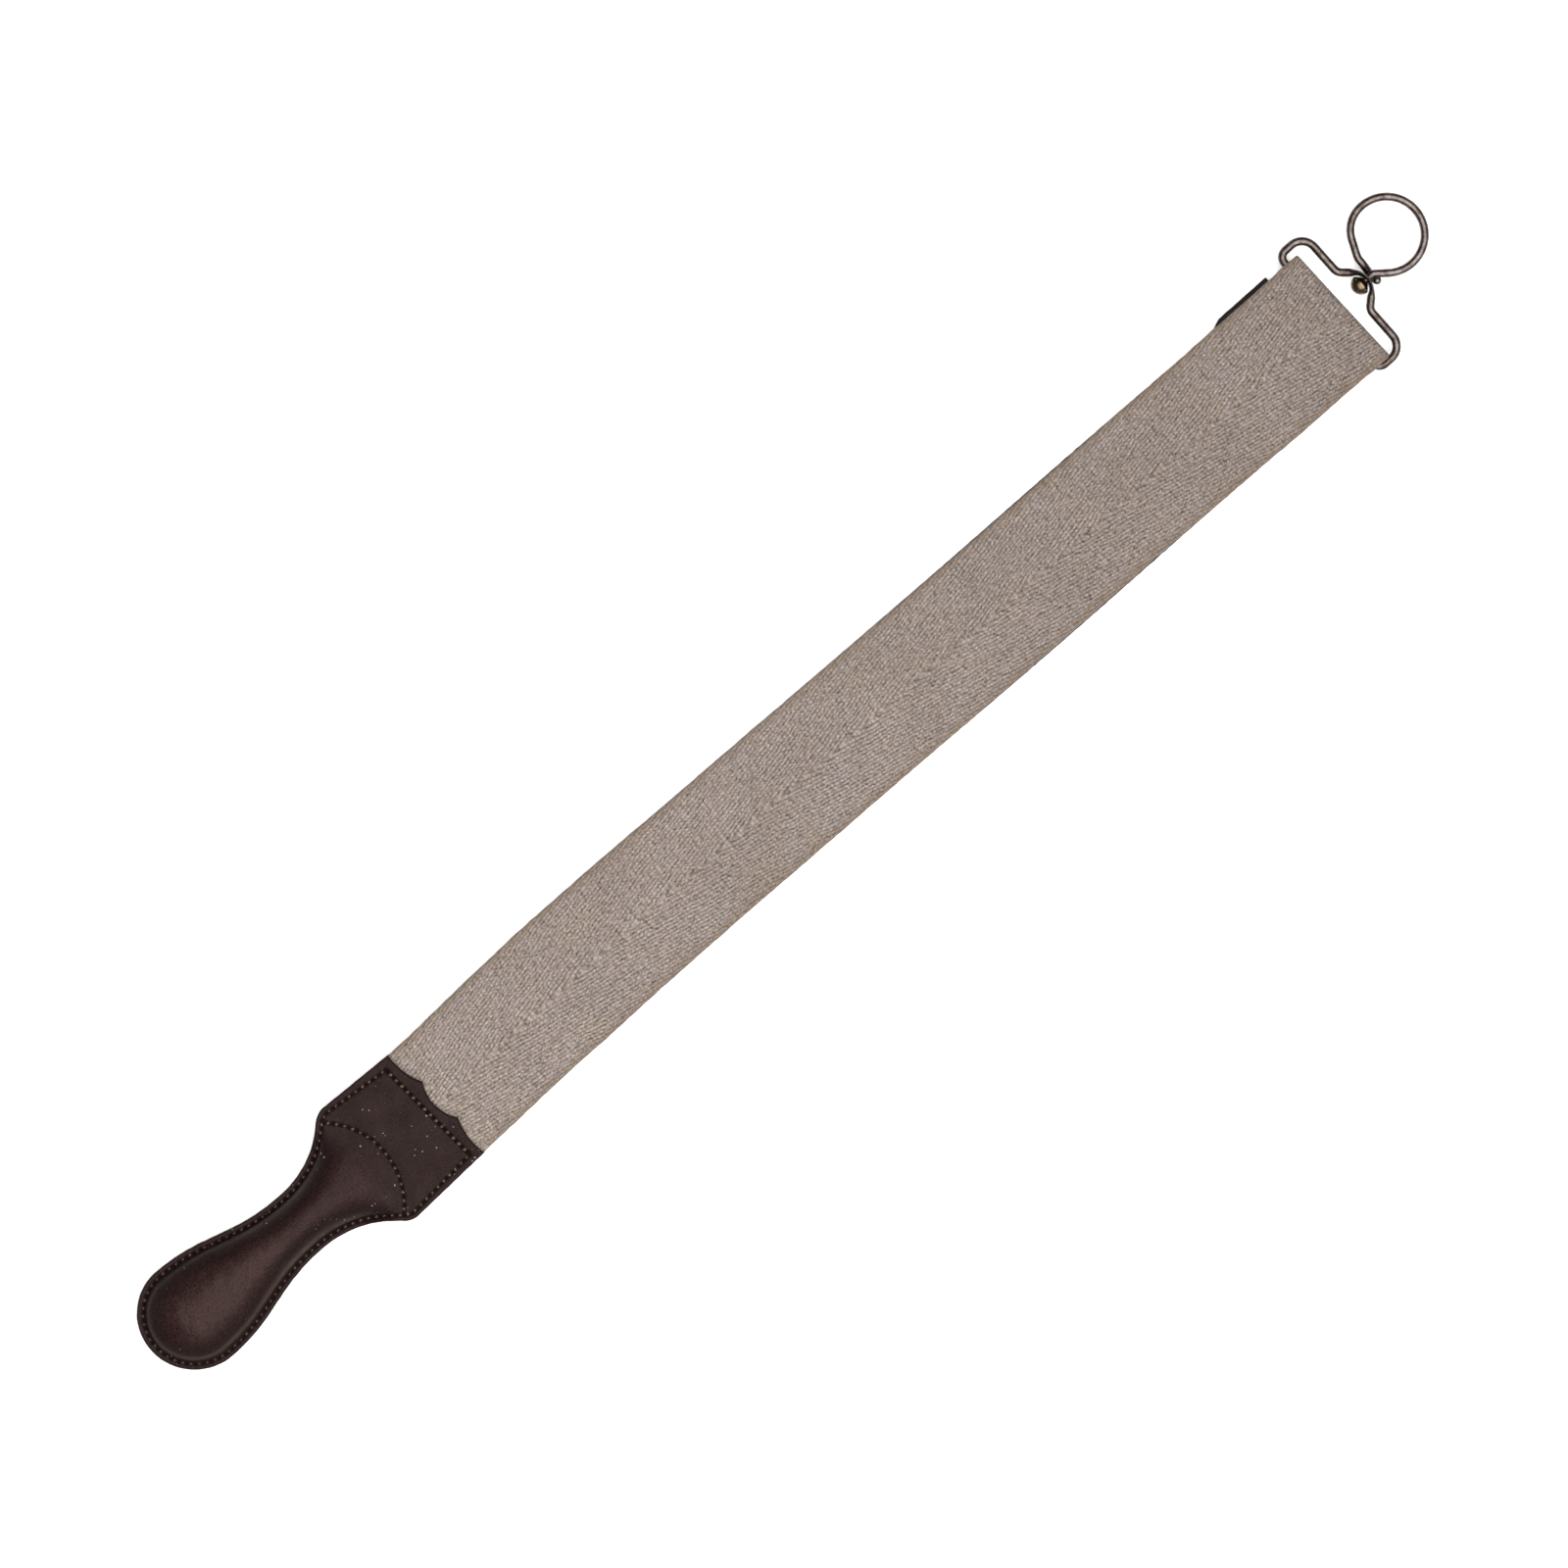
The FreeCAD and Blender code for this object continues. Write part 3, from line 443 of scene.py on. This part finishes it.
def stitch_mesh(line, height, outward, long, wide, name, node, shift):
    """One bent, twisted piece of thread for each stitch of a seam, with both ends sunk into the leather."""
    line = np.asarray(line, float)
    length = np.linalg.norm(np.diff(line, axis=0), axis=1).sum()
    steps = round(length / PITCH)
    marks = resample(line, length / steps)
    rng = np.random.default_rng(len(marks))
    around, rings = 10, 13
    points, faces, twist, thread_darkening = [], [], [], []
    for start, end in zip(marks, marks[1:]):
        middle, way = (start + end) / 2, end - start
        pitch = np.linalg.norm(way)
        turn = math.radians(SLANT + rng.uniform(-5, 5))
        way = np.array([way[0] * math.cos(turn) - way[1] * math.sin(turn),
                        way[0] * math.sin(turn) + way[1] * math.cos(turn)]) / pitch
        reach = long / 2 * rng.uniform(0.90, 1.10)
        radius = wide / 2 * rng.uniform(0.92, 1.08)
        lift = rng.uniform(-0.04, 0.05)
        # How much darker each stitch is drawn: a random amount, and more along the grip.
        darkening = min(1.0, rng.uniform(0.0, 0.55) + 0.35 * float(smooth((84 - middle[0]) / 20)))
        base = len(points)
        for ring in range(rings):
            share = -1 + 2 * ring / (rings - 1)
            at = middle + way * reach * share
            surface = float(height(np.array([at[0]]), np.array([at[1]]))[0])
            rise = outward * (lift + 0.16 - 0.95 * abs(share) ** 3.2)
            taper = 1 - 0.25 * abs(share) ** 4
            side = np.array([-way[1], way[0]])
            for spoke in range(around):
                angle = 2 * math.pi * spoke / around
                wound = 2 * (angle - share * reach * 2.6)
                out = radius * taper * (1 + 0.13 * math.cos(wound))
                sideways = side * out * math.cos(angle)
                points.append((at[0] + sideways[0], at[1] + sideways[1],
                               surface + rise + out * math.sin(angle)))
                twist.append(wound)
                thread_darkening.append(darkening)
        for ring in range(rings - 1):
            for spoke in range(around):
                a = base + ring * around + spoke
                b = base + ring * around + (spoke + 1) % around
                faces.append((a, a + around, b + around, b))
        faces.append(tuple(base + spoke for spoke in range(around)))
        faces.append(tuple(base + (rings - 1) * around + spoke for spoke in reversed(range(around))))
    points = np.array(points)
    points[:, 1] += shift(points[:, 0])
    points[:, 0] += HANDLE_END
    piece = make_object(name, points, faces, {"twist": twist, "thread_darkening": thread_darkening})
    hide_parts(node)
    return piece


def level(height):
    """A flat surface for stitches, at one height."""
    return lambda x, y: np.full(len(x), height)


def build_stitches():
    pieces = []

    def front(x, y):
        return dome_height(x, y) - 0.42

    sizes = {"edge": (1.25, 0.74), "arc": (1.30, 0.84), "top": (1.45, 1.12)}
    for name, line in SEAMS.items():
        long, wide = sizes[name]
        pieces.append(stitch_mesh(line, front, 1, long, wide, f"{name}_thread_front",
                                  f"{name}_stitching_front", handle_sway))
        pieces.append(stitch_mesh(line, level(THREAD + 0.2), -1, long, wide, f"{name}_thread_back",
                                  f"{name}_stitching_back", handle_sway))
    low, high = box_mm("strap_joint_stitching_outer")
    near, far, side = low[0] + THREAD - HANDLE_END, high[0] - THREAD - HANDLE_END, high[1] - THREAD
    box = np.array([(near, -side), (far, -side), (far, side), (near, side), (near, -side)])
    tail_face = LEATHER + GAP + CANVAS
    for height, outward, place in ((THREAD - 0.04, -1, "outer"), (tail_face - 0.35, 1, "inner")):
        pieces.append(stitch_mesh(box, level(height), outward, 2.1, 0.72, f"joint_thread_{place}",
                                  f"strap_joint_stitching_{place}", leather_sway))
    return pieces


# ---------------------------------------------------------------- straps

def sway(place):
    """How far the canvas wanders sideways as it lies, by the distance from the handle's tip."""
    return curve(place, (106, -0.4), (147, -0.3), (180, 0.95), (227, 1.65), (300, 1.0), (360, 0.2),
                 (410, -0.55), (500, -1.0), (547, -1.5), (583, -1.55))


def leather_sway(place):
    """The leather follows the canvas and steps out beside it near the hanger, where its edge shows."""
    step = smooth((place - 547.5) / 4.5)
    return sway(place) * (1 - step) + 0.35 * step


def canvas_sway(place):
    """Sideways place along the canvas: out with the upper layer, round the bar and back with the tail."""
    turn = int(np.argmax(place))
    back = smooth((np.arange(len(place)) - turn + 12) / 30)
    return sway(place) * (1 - back) - 1.6 * back


def canvas_half_width(place):
    width = curve(place, (147, 25.3), (227, 25.7), (267, 25.35), (340, 25.2), (430, 24.95), (500, 25.0),
                  (547, 25.25), (590, 25.6))
    return width + 0.10 * waves(place, 0 * place, 30, 31) + 0.09 * waves(place, 0 * place, 6, 32)


def strap_mesh(name, node, path, half_thickness, half_width_at, shift_at, columns, corner, relief,
               skew=0.0):
    """A strap swept along a path in the XZ plane: rounded edges, relief on both faces, closed ends. The
    attribute cloth holds, for each point, the way along the strap, the place across it and its half width."""
    places = np.array(path.points)
    normals = np.array(path.normals)
    run = np.concatenate([[0], np.cumsum(np.linalg.norm(np.diff(places, axis=0), axis=1))])
    across = np.linspace(-1, 1, columns)
    turns = np.linspace(90, -90, 9)[1:-1]
    section = [(share, 0.0, 1.0) for share in across]
    section += [(1.0, math.cos(math.radians(a)), math.sin(math.radians(a))) for a in turns]
    section += [(share, 0.0, -1.0) for share in across[::-1]]
    section += [(-1.0, -math.cos(math.radians(a)), -math.sin(math.radians(a))) for a in turns]
    section = np.array(section)
    half = half_width_at(places[:, 0] - HANDLE_END)
    middle = shift_at(places[:, 0] - HANDLE_END)
    inner = half - corner
    y = section[None, :, 0] * inner[:, None] + section[None, :, 1] * corner
    flat_part = np.abs(section[:, 0]) < 1
    face = section[None, :, 2] * half_thickness
    along = np.repeat(run[:, None], len(section), 1)
    face = face + np.where(flat_part[None], np.sign(section[None, :, 2]) * relief(along, y, half[:, None]), 0)
    back = skew * smooth((places[:, None, 0] - HANDLE_END - 560) / 25) * y / half[:, None]
    points = np.stack([places[:, None, 0] + normals[:, None, 0] * face - back, y + middle[:, None],
                       places[:, None, 1] + normals[:, None, 1] * face], axis=2)
    cloth = np.stack([along, y, np.repeat(half[:, None], len(section), 1)], axis=2)
    count, rings = len(section), len(places)
    index = np.arange(rings * count).reshape(rings, count)
    following = np.roll(index, -1, axis=1)
    quads = np.stack([index[:-1], following[:-1], following[1:], index[1:]], axis=2).reshape(-1, 4)
    faces = [tuple(quad) for quad in quads.tolist()]
    points, cloth = points.reshape(-1, 3), cloth.reshape(-1, 3)
    for ring, reverse in ((0, True), (rings - 1, False)):
        top = index[ring, :columns]
        low = index[ring, columns + len(turns):2 * columns + len(turns)][::-1]
        for k in range(columns - 1):
            quad = (top[k], top[k + 1], low[k + 1], low[k])
            faces.append(tuple(int(i) for i in (quad if reverse else quad[::-1])))
        for rim, ends in ((index[ring, columns:columns + len(turns)], (top[-1], low[-1])),
                          (index[ring, 2 * columns + len(turns):], (low[0], top[0]))):
            fan = [int(ends[0])] + [int(i) for i in rim] + [int(ends[1])]
            faces.append(tuple(fan[::-1] if not reverse else fan))
    piece = make_object(name, points, faces, {"cloth": cloth})
    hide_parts(node)
    return piece, run[-1]


RIDGES_ALONG, RIDGES_ACROSS = 0.155, -0.75
BEADS_ALONG, BEADS_ACROSS = 0.58, -0.03


def twill(along, y, half):
    """Ridges of the herringbone, which meet near the middle line and fade at the edges."""
    side = np.sqrt((y + 1.0) ** 2 + 0.6)
    ridge = np.cos(2 * np.pi * (RIDGES_ALONG * along + RIDGES_ACROSS * side))
    fade = smooth((half - np.abs(y) - 0.6) / 1.5)
    return 0.03 * ridge * fade + 0.03 * waves(along, y, 60, 8)


def canvas_path():
    tail_mid = LEATHER + GAP + CANVAS / 2
    over_tail = tail_mid + CANVAS + GAP
    loop_radius = 1.6 + 0.35 + CANVAS / 2
    loop_centre = FOLD_END - CANVAS / 2 - loop_radius
    loop_rise = loop_radius - (over_tail - BAR[2])
    tail_end = FOLD_END - TAIL_LENGTH
    pen = Pen(STRAP_START, PANEL + LEATHER + CANVAS / 2, 0, step=1.4)
    pen.to(HANDLE_END + RISE_START).s_bend(RISE_RUN, tail_mid - pen.y)
    pen.to(tail_end - SETTLE_RUN).s_bend(SETTLE_RUN, over_tail - tail_mid)
    pen.to(loop_centre - 9.5)
    pen.step = 0.4
    pen.s_bend(7, loop_rise).to(loop_centre).arc(loop_radius, -180).line(2.5).s_bend(7, -loop_rise)
    pen.step = 1.4
    pen.to(tail_end)
    return pen


def leather_path():
    pen = Pen(STRAP_START, PANEL + LEATHER / 2, 0, step=1.8)
    return pen.to(HANDLE_END + RISE_START).s_bend(RISE_RUN, LEATHER / 2 - pen.y).to(LEATHER_END)


def gentle(along, y, half):
    """The leather's slight unevenness, the same up to its edges."""
    return 0.03 * waves(along, y, 40, 12)


def leather_half_width(place):
    return HALF_STRAP - 0.15 + 0.1 * np.sin(place / 31) + 0.09 * waves(place, 0 * place, 4, 41)


def build_straps():
    canvas, length = strap_mesh(
        "canvas_webbing", "canvas_strap", canvas_path(), CANVAS / 2 - 0.06, canvas_half_width, canvas_sway,
        columns=211, corner=0.9, relief=twill, skew=0.5)
    leather, leather_length = strap_mesh(
        "leather_backing", "leather_strap", leather_path(), LEATHER / 2 - 0.05, leather_half_width,
        leather_sway, columns=71, corner=0.8, relief=gentle)
    return canvas, leather


# ---------------------------------------------------------------- materials

class Shader:
    """A new material and short names for the nodes that the materials use."""

    def __init__(self, name):
        self.material = bpy.data.materials.new(name)
        self.material.use_nodes = True
        self.tree = self.material.node_tree
        self.surface = self.tree.nodes["Principled BSDF"]

    def node(self, kind, inputs=None, **settings):
        node = self.tree.nodes.new(kind)
        for key, value in settings.items():
            setattr(node, key, value)
        for key, value in (inputs or {}).items():
            self.feed(node.inputs[key], value)
        return node

    def feed(self, socket, value):
        if isinstance(value, bpy.types.NodeSocket):
            self.tree.links.new(value, socket)
        else:
            socket.default_value = value

    def math(self, operation, first, second=0.0, third=None):
        inputs = {0: first, 1: second}
        if third is not None:
            inputs[2] = third
        return self.node("ShaderNodeMath", inputs, operation=operation).outputs[0]

    def place(self):
        return self.node("ShaderNodeTexCoord").outputs["Object"]

    def stretched(self, scale):
        return self.node("ShaderNodeMapping", {"Vector": self.place(), "Scale": scale}).outputs[0]

    def noise(self, scale, detail=3.0, roughness=0.5, vector=None, output="Fac"):
        inputs = {"Vector": vector or self.place(), "Scale": scale, "Detail": detail, "Roughness": roughness}
        return self.node("ShaderNodeTexNoise", inputs).outputs[output]

    def cells(self, scale, feature="F1", output="Distance"):
        inputs = {"Vector": self.place(), "Scale": scale}
        return self.node("ShaderNodeTexVoronoi", inputs, feature=feature).outputs[output]

    def attribute(self, name, output="Fac"):
        return self.node("ShaderNodeAttribute", attribute_name=name).outputs[output]

    def ramp(self, value, *stops):
        """stops are (position, colour or grey) pairs."""
        node = self.node("ShaderNodeValToRGB", {"Fac": value})
        elements = node.color_ramp.elements
        while len(elements) < len(stops):
            elements.new(0.5)
        for element, (position, colour) in zip(elements, stops):
            element.position = position
            element.color = (*colour, 1.0) if isinstance(colour, tuple) else (colour, colour, colour, 1.0)
        return node.outputs["Color"]

    def mix(self, share, first, second, blend="MIX"):
        node = self.tree.nodes.new("ShaderNodeMix")
        node.data_type, node.blend_type = "RGBA", blend
        sockets = [s for s in node.inputs if s.enabled]
        for socket, value in zip(sockets, (share, first, second)):
            if isinstance(value, tuple) and len(value) == 3:
                value = (*value, 1.0)
            self.feed(socket, value)
        return next(s for s in node.outputs if s.enabled)

    def bump(self, height, strength, distance_mm):
        inputs = {"Height": height, "Strength": strength, "Distance": distance_mm * MM}
        return self.node("ShaderNodeBump", inputs).outputs[0]

    def set(self, **values):
        names = {"color": "Base Color", "rough": "Roughness", "metal": "Metallic", "normal": "Normal",
                 "spec": "Specular IOR Level", "sheen": "Sheen Weight", "sheen_rough": "Sheen Roughness",
                 "spec_tint": "Specular Tint", "glow": "Emission Color", "glow_strength": "Emission Strength"}
        for key, value in values.items():
            if isinstance(value, tuple) and len(value) == 3:
                value = (*value, 1.0)
            self.feed(self.surface.inputs[names[key]], value)
        return self.material


def handle_leather():
    shader = Shader("handle_leather")
    blotches = shader.noise(70, 4, 0.6)
    crown = shader.attribute("crown")
    # Painted highlight: the base colour is lighter on the padding's crown, plus darker and lighter blotches
    # at random.
    wear_and_highlight = shader.math("ADD", crown, shader.math("MULTIPLY_ADD", blotches, 0.5, -0.25))
    base = shader.ramp(wear_and_highlight, (0.0, (0.0102, 0.0051, 0.0049)), (1.0, (0.0240, 0.0120, 0.0112)))
    fine = shader.ramp(shader.noise(1300, 3, 0.7), (0.3, 0.15), (0.7, 1.85))
    base = shader.mix(1.0, base, fine, "MULTIPLY")
    # Painted highlight: a lighter band along the rim of the padding, broken up by the blotches.
    rim = shader.math("MULTIPLY", shader.attribute("rim"), shader.ramp(blotches, (0.35, 0.45), (0.65, 1.0)))
    base = shader.mix(rim, base, (0.036, 0.0215, 0.0180))
    # Painted shade: the seam creases and the stitch holes are darkened nearly to black.
    crease = shader.attribute("crease")
    base = shader.mix(shader.math("MULTIPLY", crease, 0.96), base, (0.0030, 0.0016, 0.0013))
    edge = shader.attribute("edge")
    base = shader.mix(shader.math("MULTIPLY", edge, 0.5), base, (0.013, 0.0090, 0.0085))
    grains = shader.node("ShaderNodeSeparateColor", {0: shader.cells(620, output="Color")}).outputs[0]
    chosen = shader.math("GREATER_THAN", grains, 0.62)
    grain_size = shader.math("MULTIPLY_ADD", grains, 0.42, -0.21)
    near = shader.math("LESS_THAN", shader.cells(620), grain_size)
    flat_part = shader.ramp(crown, (0.0, 1.0), (0.25, 0.05))
    patches = shader.ramp(shader.noise(55, 3, 0.6), (0.52, 0.0), (0.60, 1.0))
    dust = shader.math("MULTIPLY", shader.math("MULTIPLY", chosen, near),
                       shader.math("MULTIPLY", patches, flat_part))
    base = shader.mix(dust, base, (0.26, 0.23, 0.23))
    grain = shader.cells(1500, "SMOOTH_F1")
    pores = shader.noise(2600, 3, 0.7)
    creases = shader.cells(520, "DISTANCE_TO_EDGE")
    wrinkle = shader.ramp(creases, (0.0, 0.0), (0.12, 1.0))
    height = shader.math("ADD", shader.math("MULTIPLY", grain, 0.6), shader.math("MULTIPLY", pores, 0.5))
    height = shader.math("ADD", height, shader.math("MULTIPLY", wrinkle, 0.25))
    normal = shader.bump(height, 0.55, 0.14)
    rough = shader.math("MULTIPLY_ADD", crown, -0.5, shader.noise(120, 3, 0.6))
    rough = shader.ramp(rough, (0.0, 0.30), (0.7, 0.56))
    rough = shader.mix(shader.math("MULTIPLY", edge, 0.7), rough, (0.3, 0.3, 0.3))
    rough = shader.mix(crease, rough, (0.95, 0.95, 0.95))
    return shader.set(color=base, rough=rough, normal=normal, spec=0.125, spec_tint=(1.0, 0.74, 0.72))


def canvas_cloth():
    shader = Shader("herringbone_canvas")
    cloth = shader.node("ShaderNodeSeparateXYZ", {0: shader.attribute("cloth", "Vector")})
    along, across, half = cloth.outputs[0], cloth.outputs[1], cloth.outputs[2]
    outward = shader.math("ABSOLUTE", across)
    drift = shader.math("MULTIPLY_ADD", shader.noise(90, 2, 0.5), 2.4, -0.2)
    middle = shader.math("ADD", across, drift)
    side = shader.math("SQRT", shader.math("MULTIPLY_ADD", middle, middle, 0.6))
    slow = shader.math("SUBTRACT", shader.noise(70, 2, 0.5), 0.5)
    quick = shader.math("SUBTRACT", shader.noise(560, 2, 0.6), 0.5)
    wander = shader.math("ADD", shader.math("MULTIPLY", slow, 0.45), shader.math("MULTIPLY", quick, 0.28))

    def count(along_rate, across_rate, shift):
        threads = shader.math("MULTIPLY_ADD", side, across_rate, shader.math("MULTIPLY", along, along_rate))
        return shader.math("ADD", threads, shift)

    def wave(threads):
        return shader.math("COSINE", shader.math("MULTIPLY", threads, 2 * math.pi))

    ridges = count(RIDGES_ALONG, RIDGES_ACROSS, wander)
    beads = count(BEADS_ALONG, BEADS_ACROSS, shader.math("MULTIPLY", wander, -0.8))
    lattice = shader.node("ShaderNodeCombineXYZ", {0: ridges, 1: beads, 2: shader.math("SIGN", middle)})
    lattice = lattice.outputs[0]
    # The weave's tone is its yarn pattern, with narrow dark valleys between the ridges' crests that are
    # painted shade.
    crest = shader.math("ABSOLUTE", shader.math("COSINE", shader.math("MULTIPLY", ridges, math.pi)))
    crest = shader.math("MULTIPLY_ADD", shader.math("POWER", crest, 0.7), 2.2, -1.55)
    crisp = shader.ramp(shader.noise(85, 4, 0.65), (0.38, 0.85), (0.62, 1.15))
    crest = shader.math("MULTIPLY", crest, crisp)
    yarn = shader.math("MULTIPLY_ADD", wave(beads), 0.28, crest)
    yarn = shader.math("MULTIPLY_ADD", wave(shader.math("SUBTRACT", beads, ridges)), 0.25, yarn)
    bead = shader.math("SUBTRACT", shader.noise(1.15, 2, 0.6, lattice), 0.5)
    fibre = shader.math("SUBTRACT", shader.noise(1500, 4, 0.75), 0.5)
    tone = shader.math("MULTIPLY_ADD", yarn, 0.155, 0.5)
    tone = shader.math("MULTIPLY_ADD", bead, 0.88, tone)
    tone = shader.math("MULTIPLY_ADD", fibre, 1.45, tone)
    base = shader.ramp(tone, (0.08, (0.046, 0.034, 0.027)), (0.5, (0.224, 0.186, 0.167)),
                       (0.92, (0.425, 0.378, 0.356)))
    patches = shader.ramp(shader.noise(38, 4, 0.55), (0.3, (0.88, 0.865, 0.855)), (0.7, (1.0, 1.0, 1.0)))
    base = shader.mix(1.0, base, patches, "MULTIPLY")
    tints = shader.ramp(shader.noise(95, 4, 0.65), (0.36, (1.02, 1.0, 0.955)), (0.5, (1.0, 1.0, 1.0)),
                        (0.64, (0.985, 0.985, 1.01)))
    base = shader.mix(1.0, base, tints, "MULTIPLY")
    # Painted light falloff: the canvas is painted lighter near the handle and darker towards the ring.
    painted_light_falloff = shader.ramp(shader.math("DIVIDE", along, 480.0), (0.0, 1.09), (1.0, 0.91))
    base = shader.mix(1.0, base, painted_light_falloff, "MULTIPLY")
    flecks = shader.noise(0.9, 1, 0.5, lattice, "Color")
    flecks = shader.node("ShaderNodeSeparateColor", {0: flecks})
    yellow = shader.ramp(flecks.outputs[0], (0.62, 0.0), (0.72, 0.5))
    base = shader.mix(yellow, base, (0.245, 0.190, 0.125))
    pink = shader.ramp(flecks.outputs[1], (0.64, 0.0), (0.74, 0.4))
    base = shader.mix(pink, base, (0.29, 0.205, 0.185))
    speck = shader.ramp(flecks.outputs[2], (0.68, 0.0), (0.76, 0.65))
    base = shader.mix(speck, base, (0.060, 0.041, 0.030))
    from_edge = shader.math("SUBTRACT", half, outward)
    ragged = shader.math("MULTIPLY_ADD", shader.noise(220, 4, 0.7), -3.0, 1.5)
    selvedge = shader.math("MULTIPLY", shader.math("ADD", from_edge, ragged), 0.2)
    selvedge = shader.ramp(selvedge, (0.0, 1.0), (0.8, 0.0))
    base = shader.mix(shader.math("MULTIPLY", selvedge, 0.62), base, (0.150, 0.108, 0.074))
    height = shader.math("MULTIPLY_ADD", fibre, 0.9, shader.math("MULTIPLY", yarn, 0.30))
    normal = shader.bump(height, 0.6, 0.22)
    return shader.set(color=base, rough=0.92, normal=normal, spec=0.18, sheen=0.12, sheen_rough=0.5)


def backing_leather():
    shader = Shader("strap_leather")
    blotches = shader.noise(28, 5, 0.6)
    base = shader.mix(blotches, (0.0050, 0.0038, 0.0034), (0.0120, 0.0090, 0.0082))
    streaks = shader.noise(60, 4, 0.6, shader.stretched((0.6, 22.0, 1.0)))
    base = shader.mix(shader.math("MULTIPLY", streaks, 0.25), base, (0.024, 0.018, 0.015))
    grain = shader.math("ADD", shader.cells(1300, "SMOOTH_F1"), shader.noise(2400, 3, 0.6))
    rough = shader.ramp(shader.noise(90, 3, 0.6), (0.3, 0.30), (0.7, 0.46))
    return shader.set(color=base, rough=rough, normal=shader.bump(grain, 0.45, 0.12), spec=0.08)


def thread_cord():
    shader = Shader("waxed_thread")
    # Painted shade: the thread is lighter on the plies' raised crests and darker in the grooves between them,
    # following the twist of its surface.
    ply = shader.math("MULTIPLY_ADD", shader.math("COSINE", shader.attribute("twist")), 0.5, 0.5)
    base = shader.mix(ply, (0.075, 0.050, 0.035), (0.215, 0.158, 0.116))
    wear_and_highlight = shader.ramp(shader.noise(420, 2, 0.5), (0.35, 0.0), (0.65, 0.60))
    base = shader.mix(wear_and_highlight, base, (0.045, 0.028, 0.020))
    # Each stitch darker by its own amount, more along the grip.
    base = shader.mix(shader.attribute("thread_darkening"), base, (0.020, 0.0125, 0.0095))
    fibre = shader.noise(5200, 3, 0.7)
    return shader.set(color=base, rough=0.62, normal=shader.bump(fibre, 0.4, 0.05), spec=0.4)


def plated_wire(name, bright, stain, stain_amount, rough_low, rough_high):
    shader = Shader(name)
    cloud = shader.noise(260, 5, 0.7)
    base = shader.mix(shader.ramp(cloud, (0.35, 0.0), (0.60, stain_amount)), bright, stain)
    rough = shader.ramp(shader.noise(420, 4, 0.7), (0.3, rough_low), (0.75, rough_high))
    dents = shader.noise(330, 3, 0.55)
    scratch = shader.noise(900, 2, 0.5, shader.stretched((1.0, 7.0, 7.0)))
    height = shader.math("ADD", shader.math("MULTIPLY", dents, 0.7), shader.math("MULTIPLY", scratch, 0.3))
    return shader.set(color=base, metal=1.0, rough=rough, normal=shader.bump(height, 0.55, 0.20))


def felt():
    shader = Shader("pressed_felt")
    fibre = shader.noise(1400, 5, 0.75)
    base = shader.mix(fibre, (0.20, 0.165, 0.130), (0.40, 0.345, 0.285))
    return shader.set(color=base, rough=0.95, normal=shader.bump(fibre, 0.8, 0.3), spec=0.1, sheen=0.3)


def dress(piece, material):
    slots = piece.material_slots
    if not slots:
        piece.data.materials.append(material)
        return
    for slot in slots:
        slot.material = material


# ---------------------------------------------------------------- studio

def build_world(scene):
    world = bpy.data.worlds.new("studio")
    world.use_nodes = True
    background = world.node_tree.nodes["Background"]
    background.inputs["Color"].default_value = (1.0, 0.985, 0.97, 1.0)
    background.inputs["Strength"].default_value = 0.07
    scene.world = world


def build_floor(scene):
    """A pale table just below the strop that glows a little, so that no grey halo shows round the object."""
    reach, drop = 6.0, 0.0006
    mesh = bpy.data.meshes.new("floor")
    mesh.from_pydata([(-reach, -reach, 0), (reach, -reach, 0), (reach, reach, 0), (-reach, reach, 0)], [],
                     [(0, 1, 2, 3)])
    floor = bpy.data.objects.new("floor", mesh)
    floor.location.z = -drop
    scene.collection.objects.link(floor)
    paper = Shader("pale_paper")
    tint = paper.mix(paper.noise(3, 2, 0.5), (0.93, 0.93, 0.93), (0.945, 0.945, 0.945))
    dress(floor, paper.set(color=tint, rough=0.9, spec=0.1, glow=(1.0, 1.0, 1.0), glow_strength=0.40))


def build_lamp(scene):
    """One wide softbox over the strop, a little to its -Y side."""
    light = bpy.data.lights.new("softbox_top", "AREA")
    light.shape, light.size, light.energy, light.color = "SQUARE", 3.4, 150, (1.0, 0.985, 0.965)
    lamp = bpy.data.objects.new("softbox_top", light)
    lamp.location = (0.0, -0.55, 2.4)
    lamp.rotation_euler = (-lamp.location).to_track_quat("-Z", "Y").to_euler()
    scene.collection.objects.link(lamp)


def build_camera(scene):
    """Straight down on the strop, turned as it lies in the photo."""
    picture_width, turn = 0.583, math.radians(-41.474)
    middle = Vector(((316.125 + HANDLE_END) * MM, 2.90 * MM, 0.005))
    lens = bpy.data.cameras.new("camera")
    lens.lens, lens.sensor_width, lens.clip_start = 120, 36, 0.05
    camera = bpy.data.objects.new("camera", lens)
    camera.location = middle + Vector((0, 0, picture_width * lens.lens / lens.sensor_width))
    camera.rotation_euler = (0, 0, turn)
    scene.collection.objects.link(camera)
    scene.camera = camera


def build_studio():
    """World, table, lamp and camera, in metres."""
    scene = bpy.context.scene
    scene.view_settings.view_transform = "Standard"
    scene.view_settings.look = "None"
    build_world(scene)
    build_floor(scene)
    build_lamp(scene)
    build_camera(scene)


build_studio()
leather = handle_leather()
for panel in build_handle():
    dress(panel, leather)
cord = thread_cord()
for seam in build_stitches():
    dress(seam, cord)
canvas_piece, backing_piece = build_straps()
dress(canvas_piece, canvas_cloth())
dress(backing_piece, backing_leather())
wire = plated_wire("nickel_wire", (0.162, 0.141, 0.138), (0.050, 0.035, 0.027), 0.90, 0.24, 0.42)
wear_and_highlight = plated_wire("worn_nickel", (0.235, 0.180, 0.120), (0.080, 0.050, 0.027), 0.80, 0.24, 0.40)
for node, material in (("hanger_frame", wire), ("swivel_ring", wire), ("swivel_button", wear_and_highlight),
                       ("grip_core", felt())):
    dress(frame["nodes"][node], material)
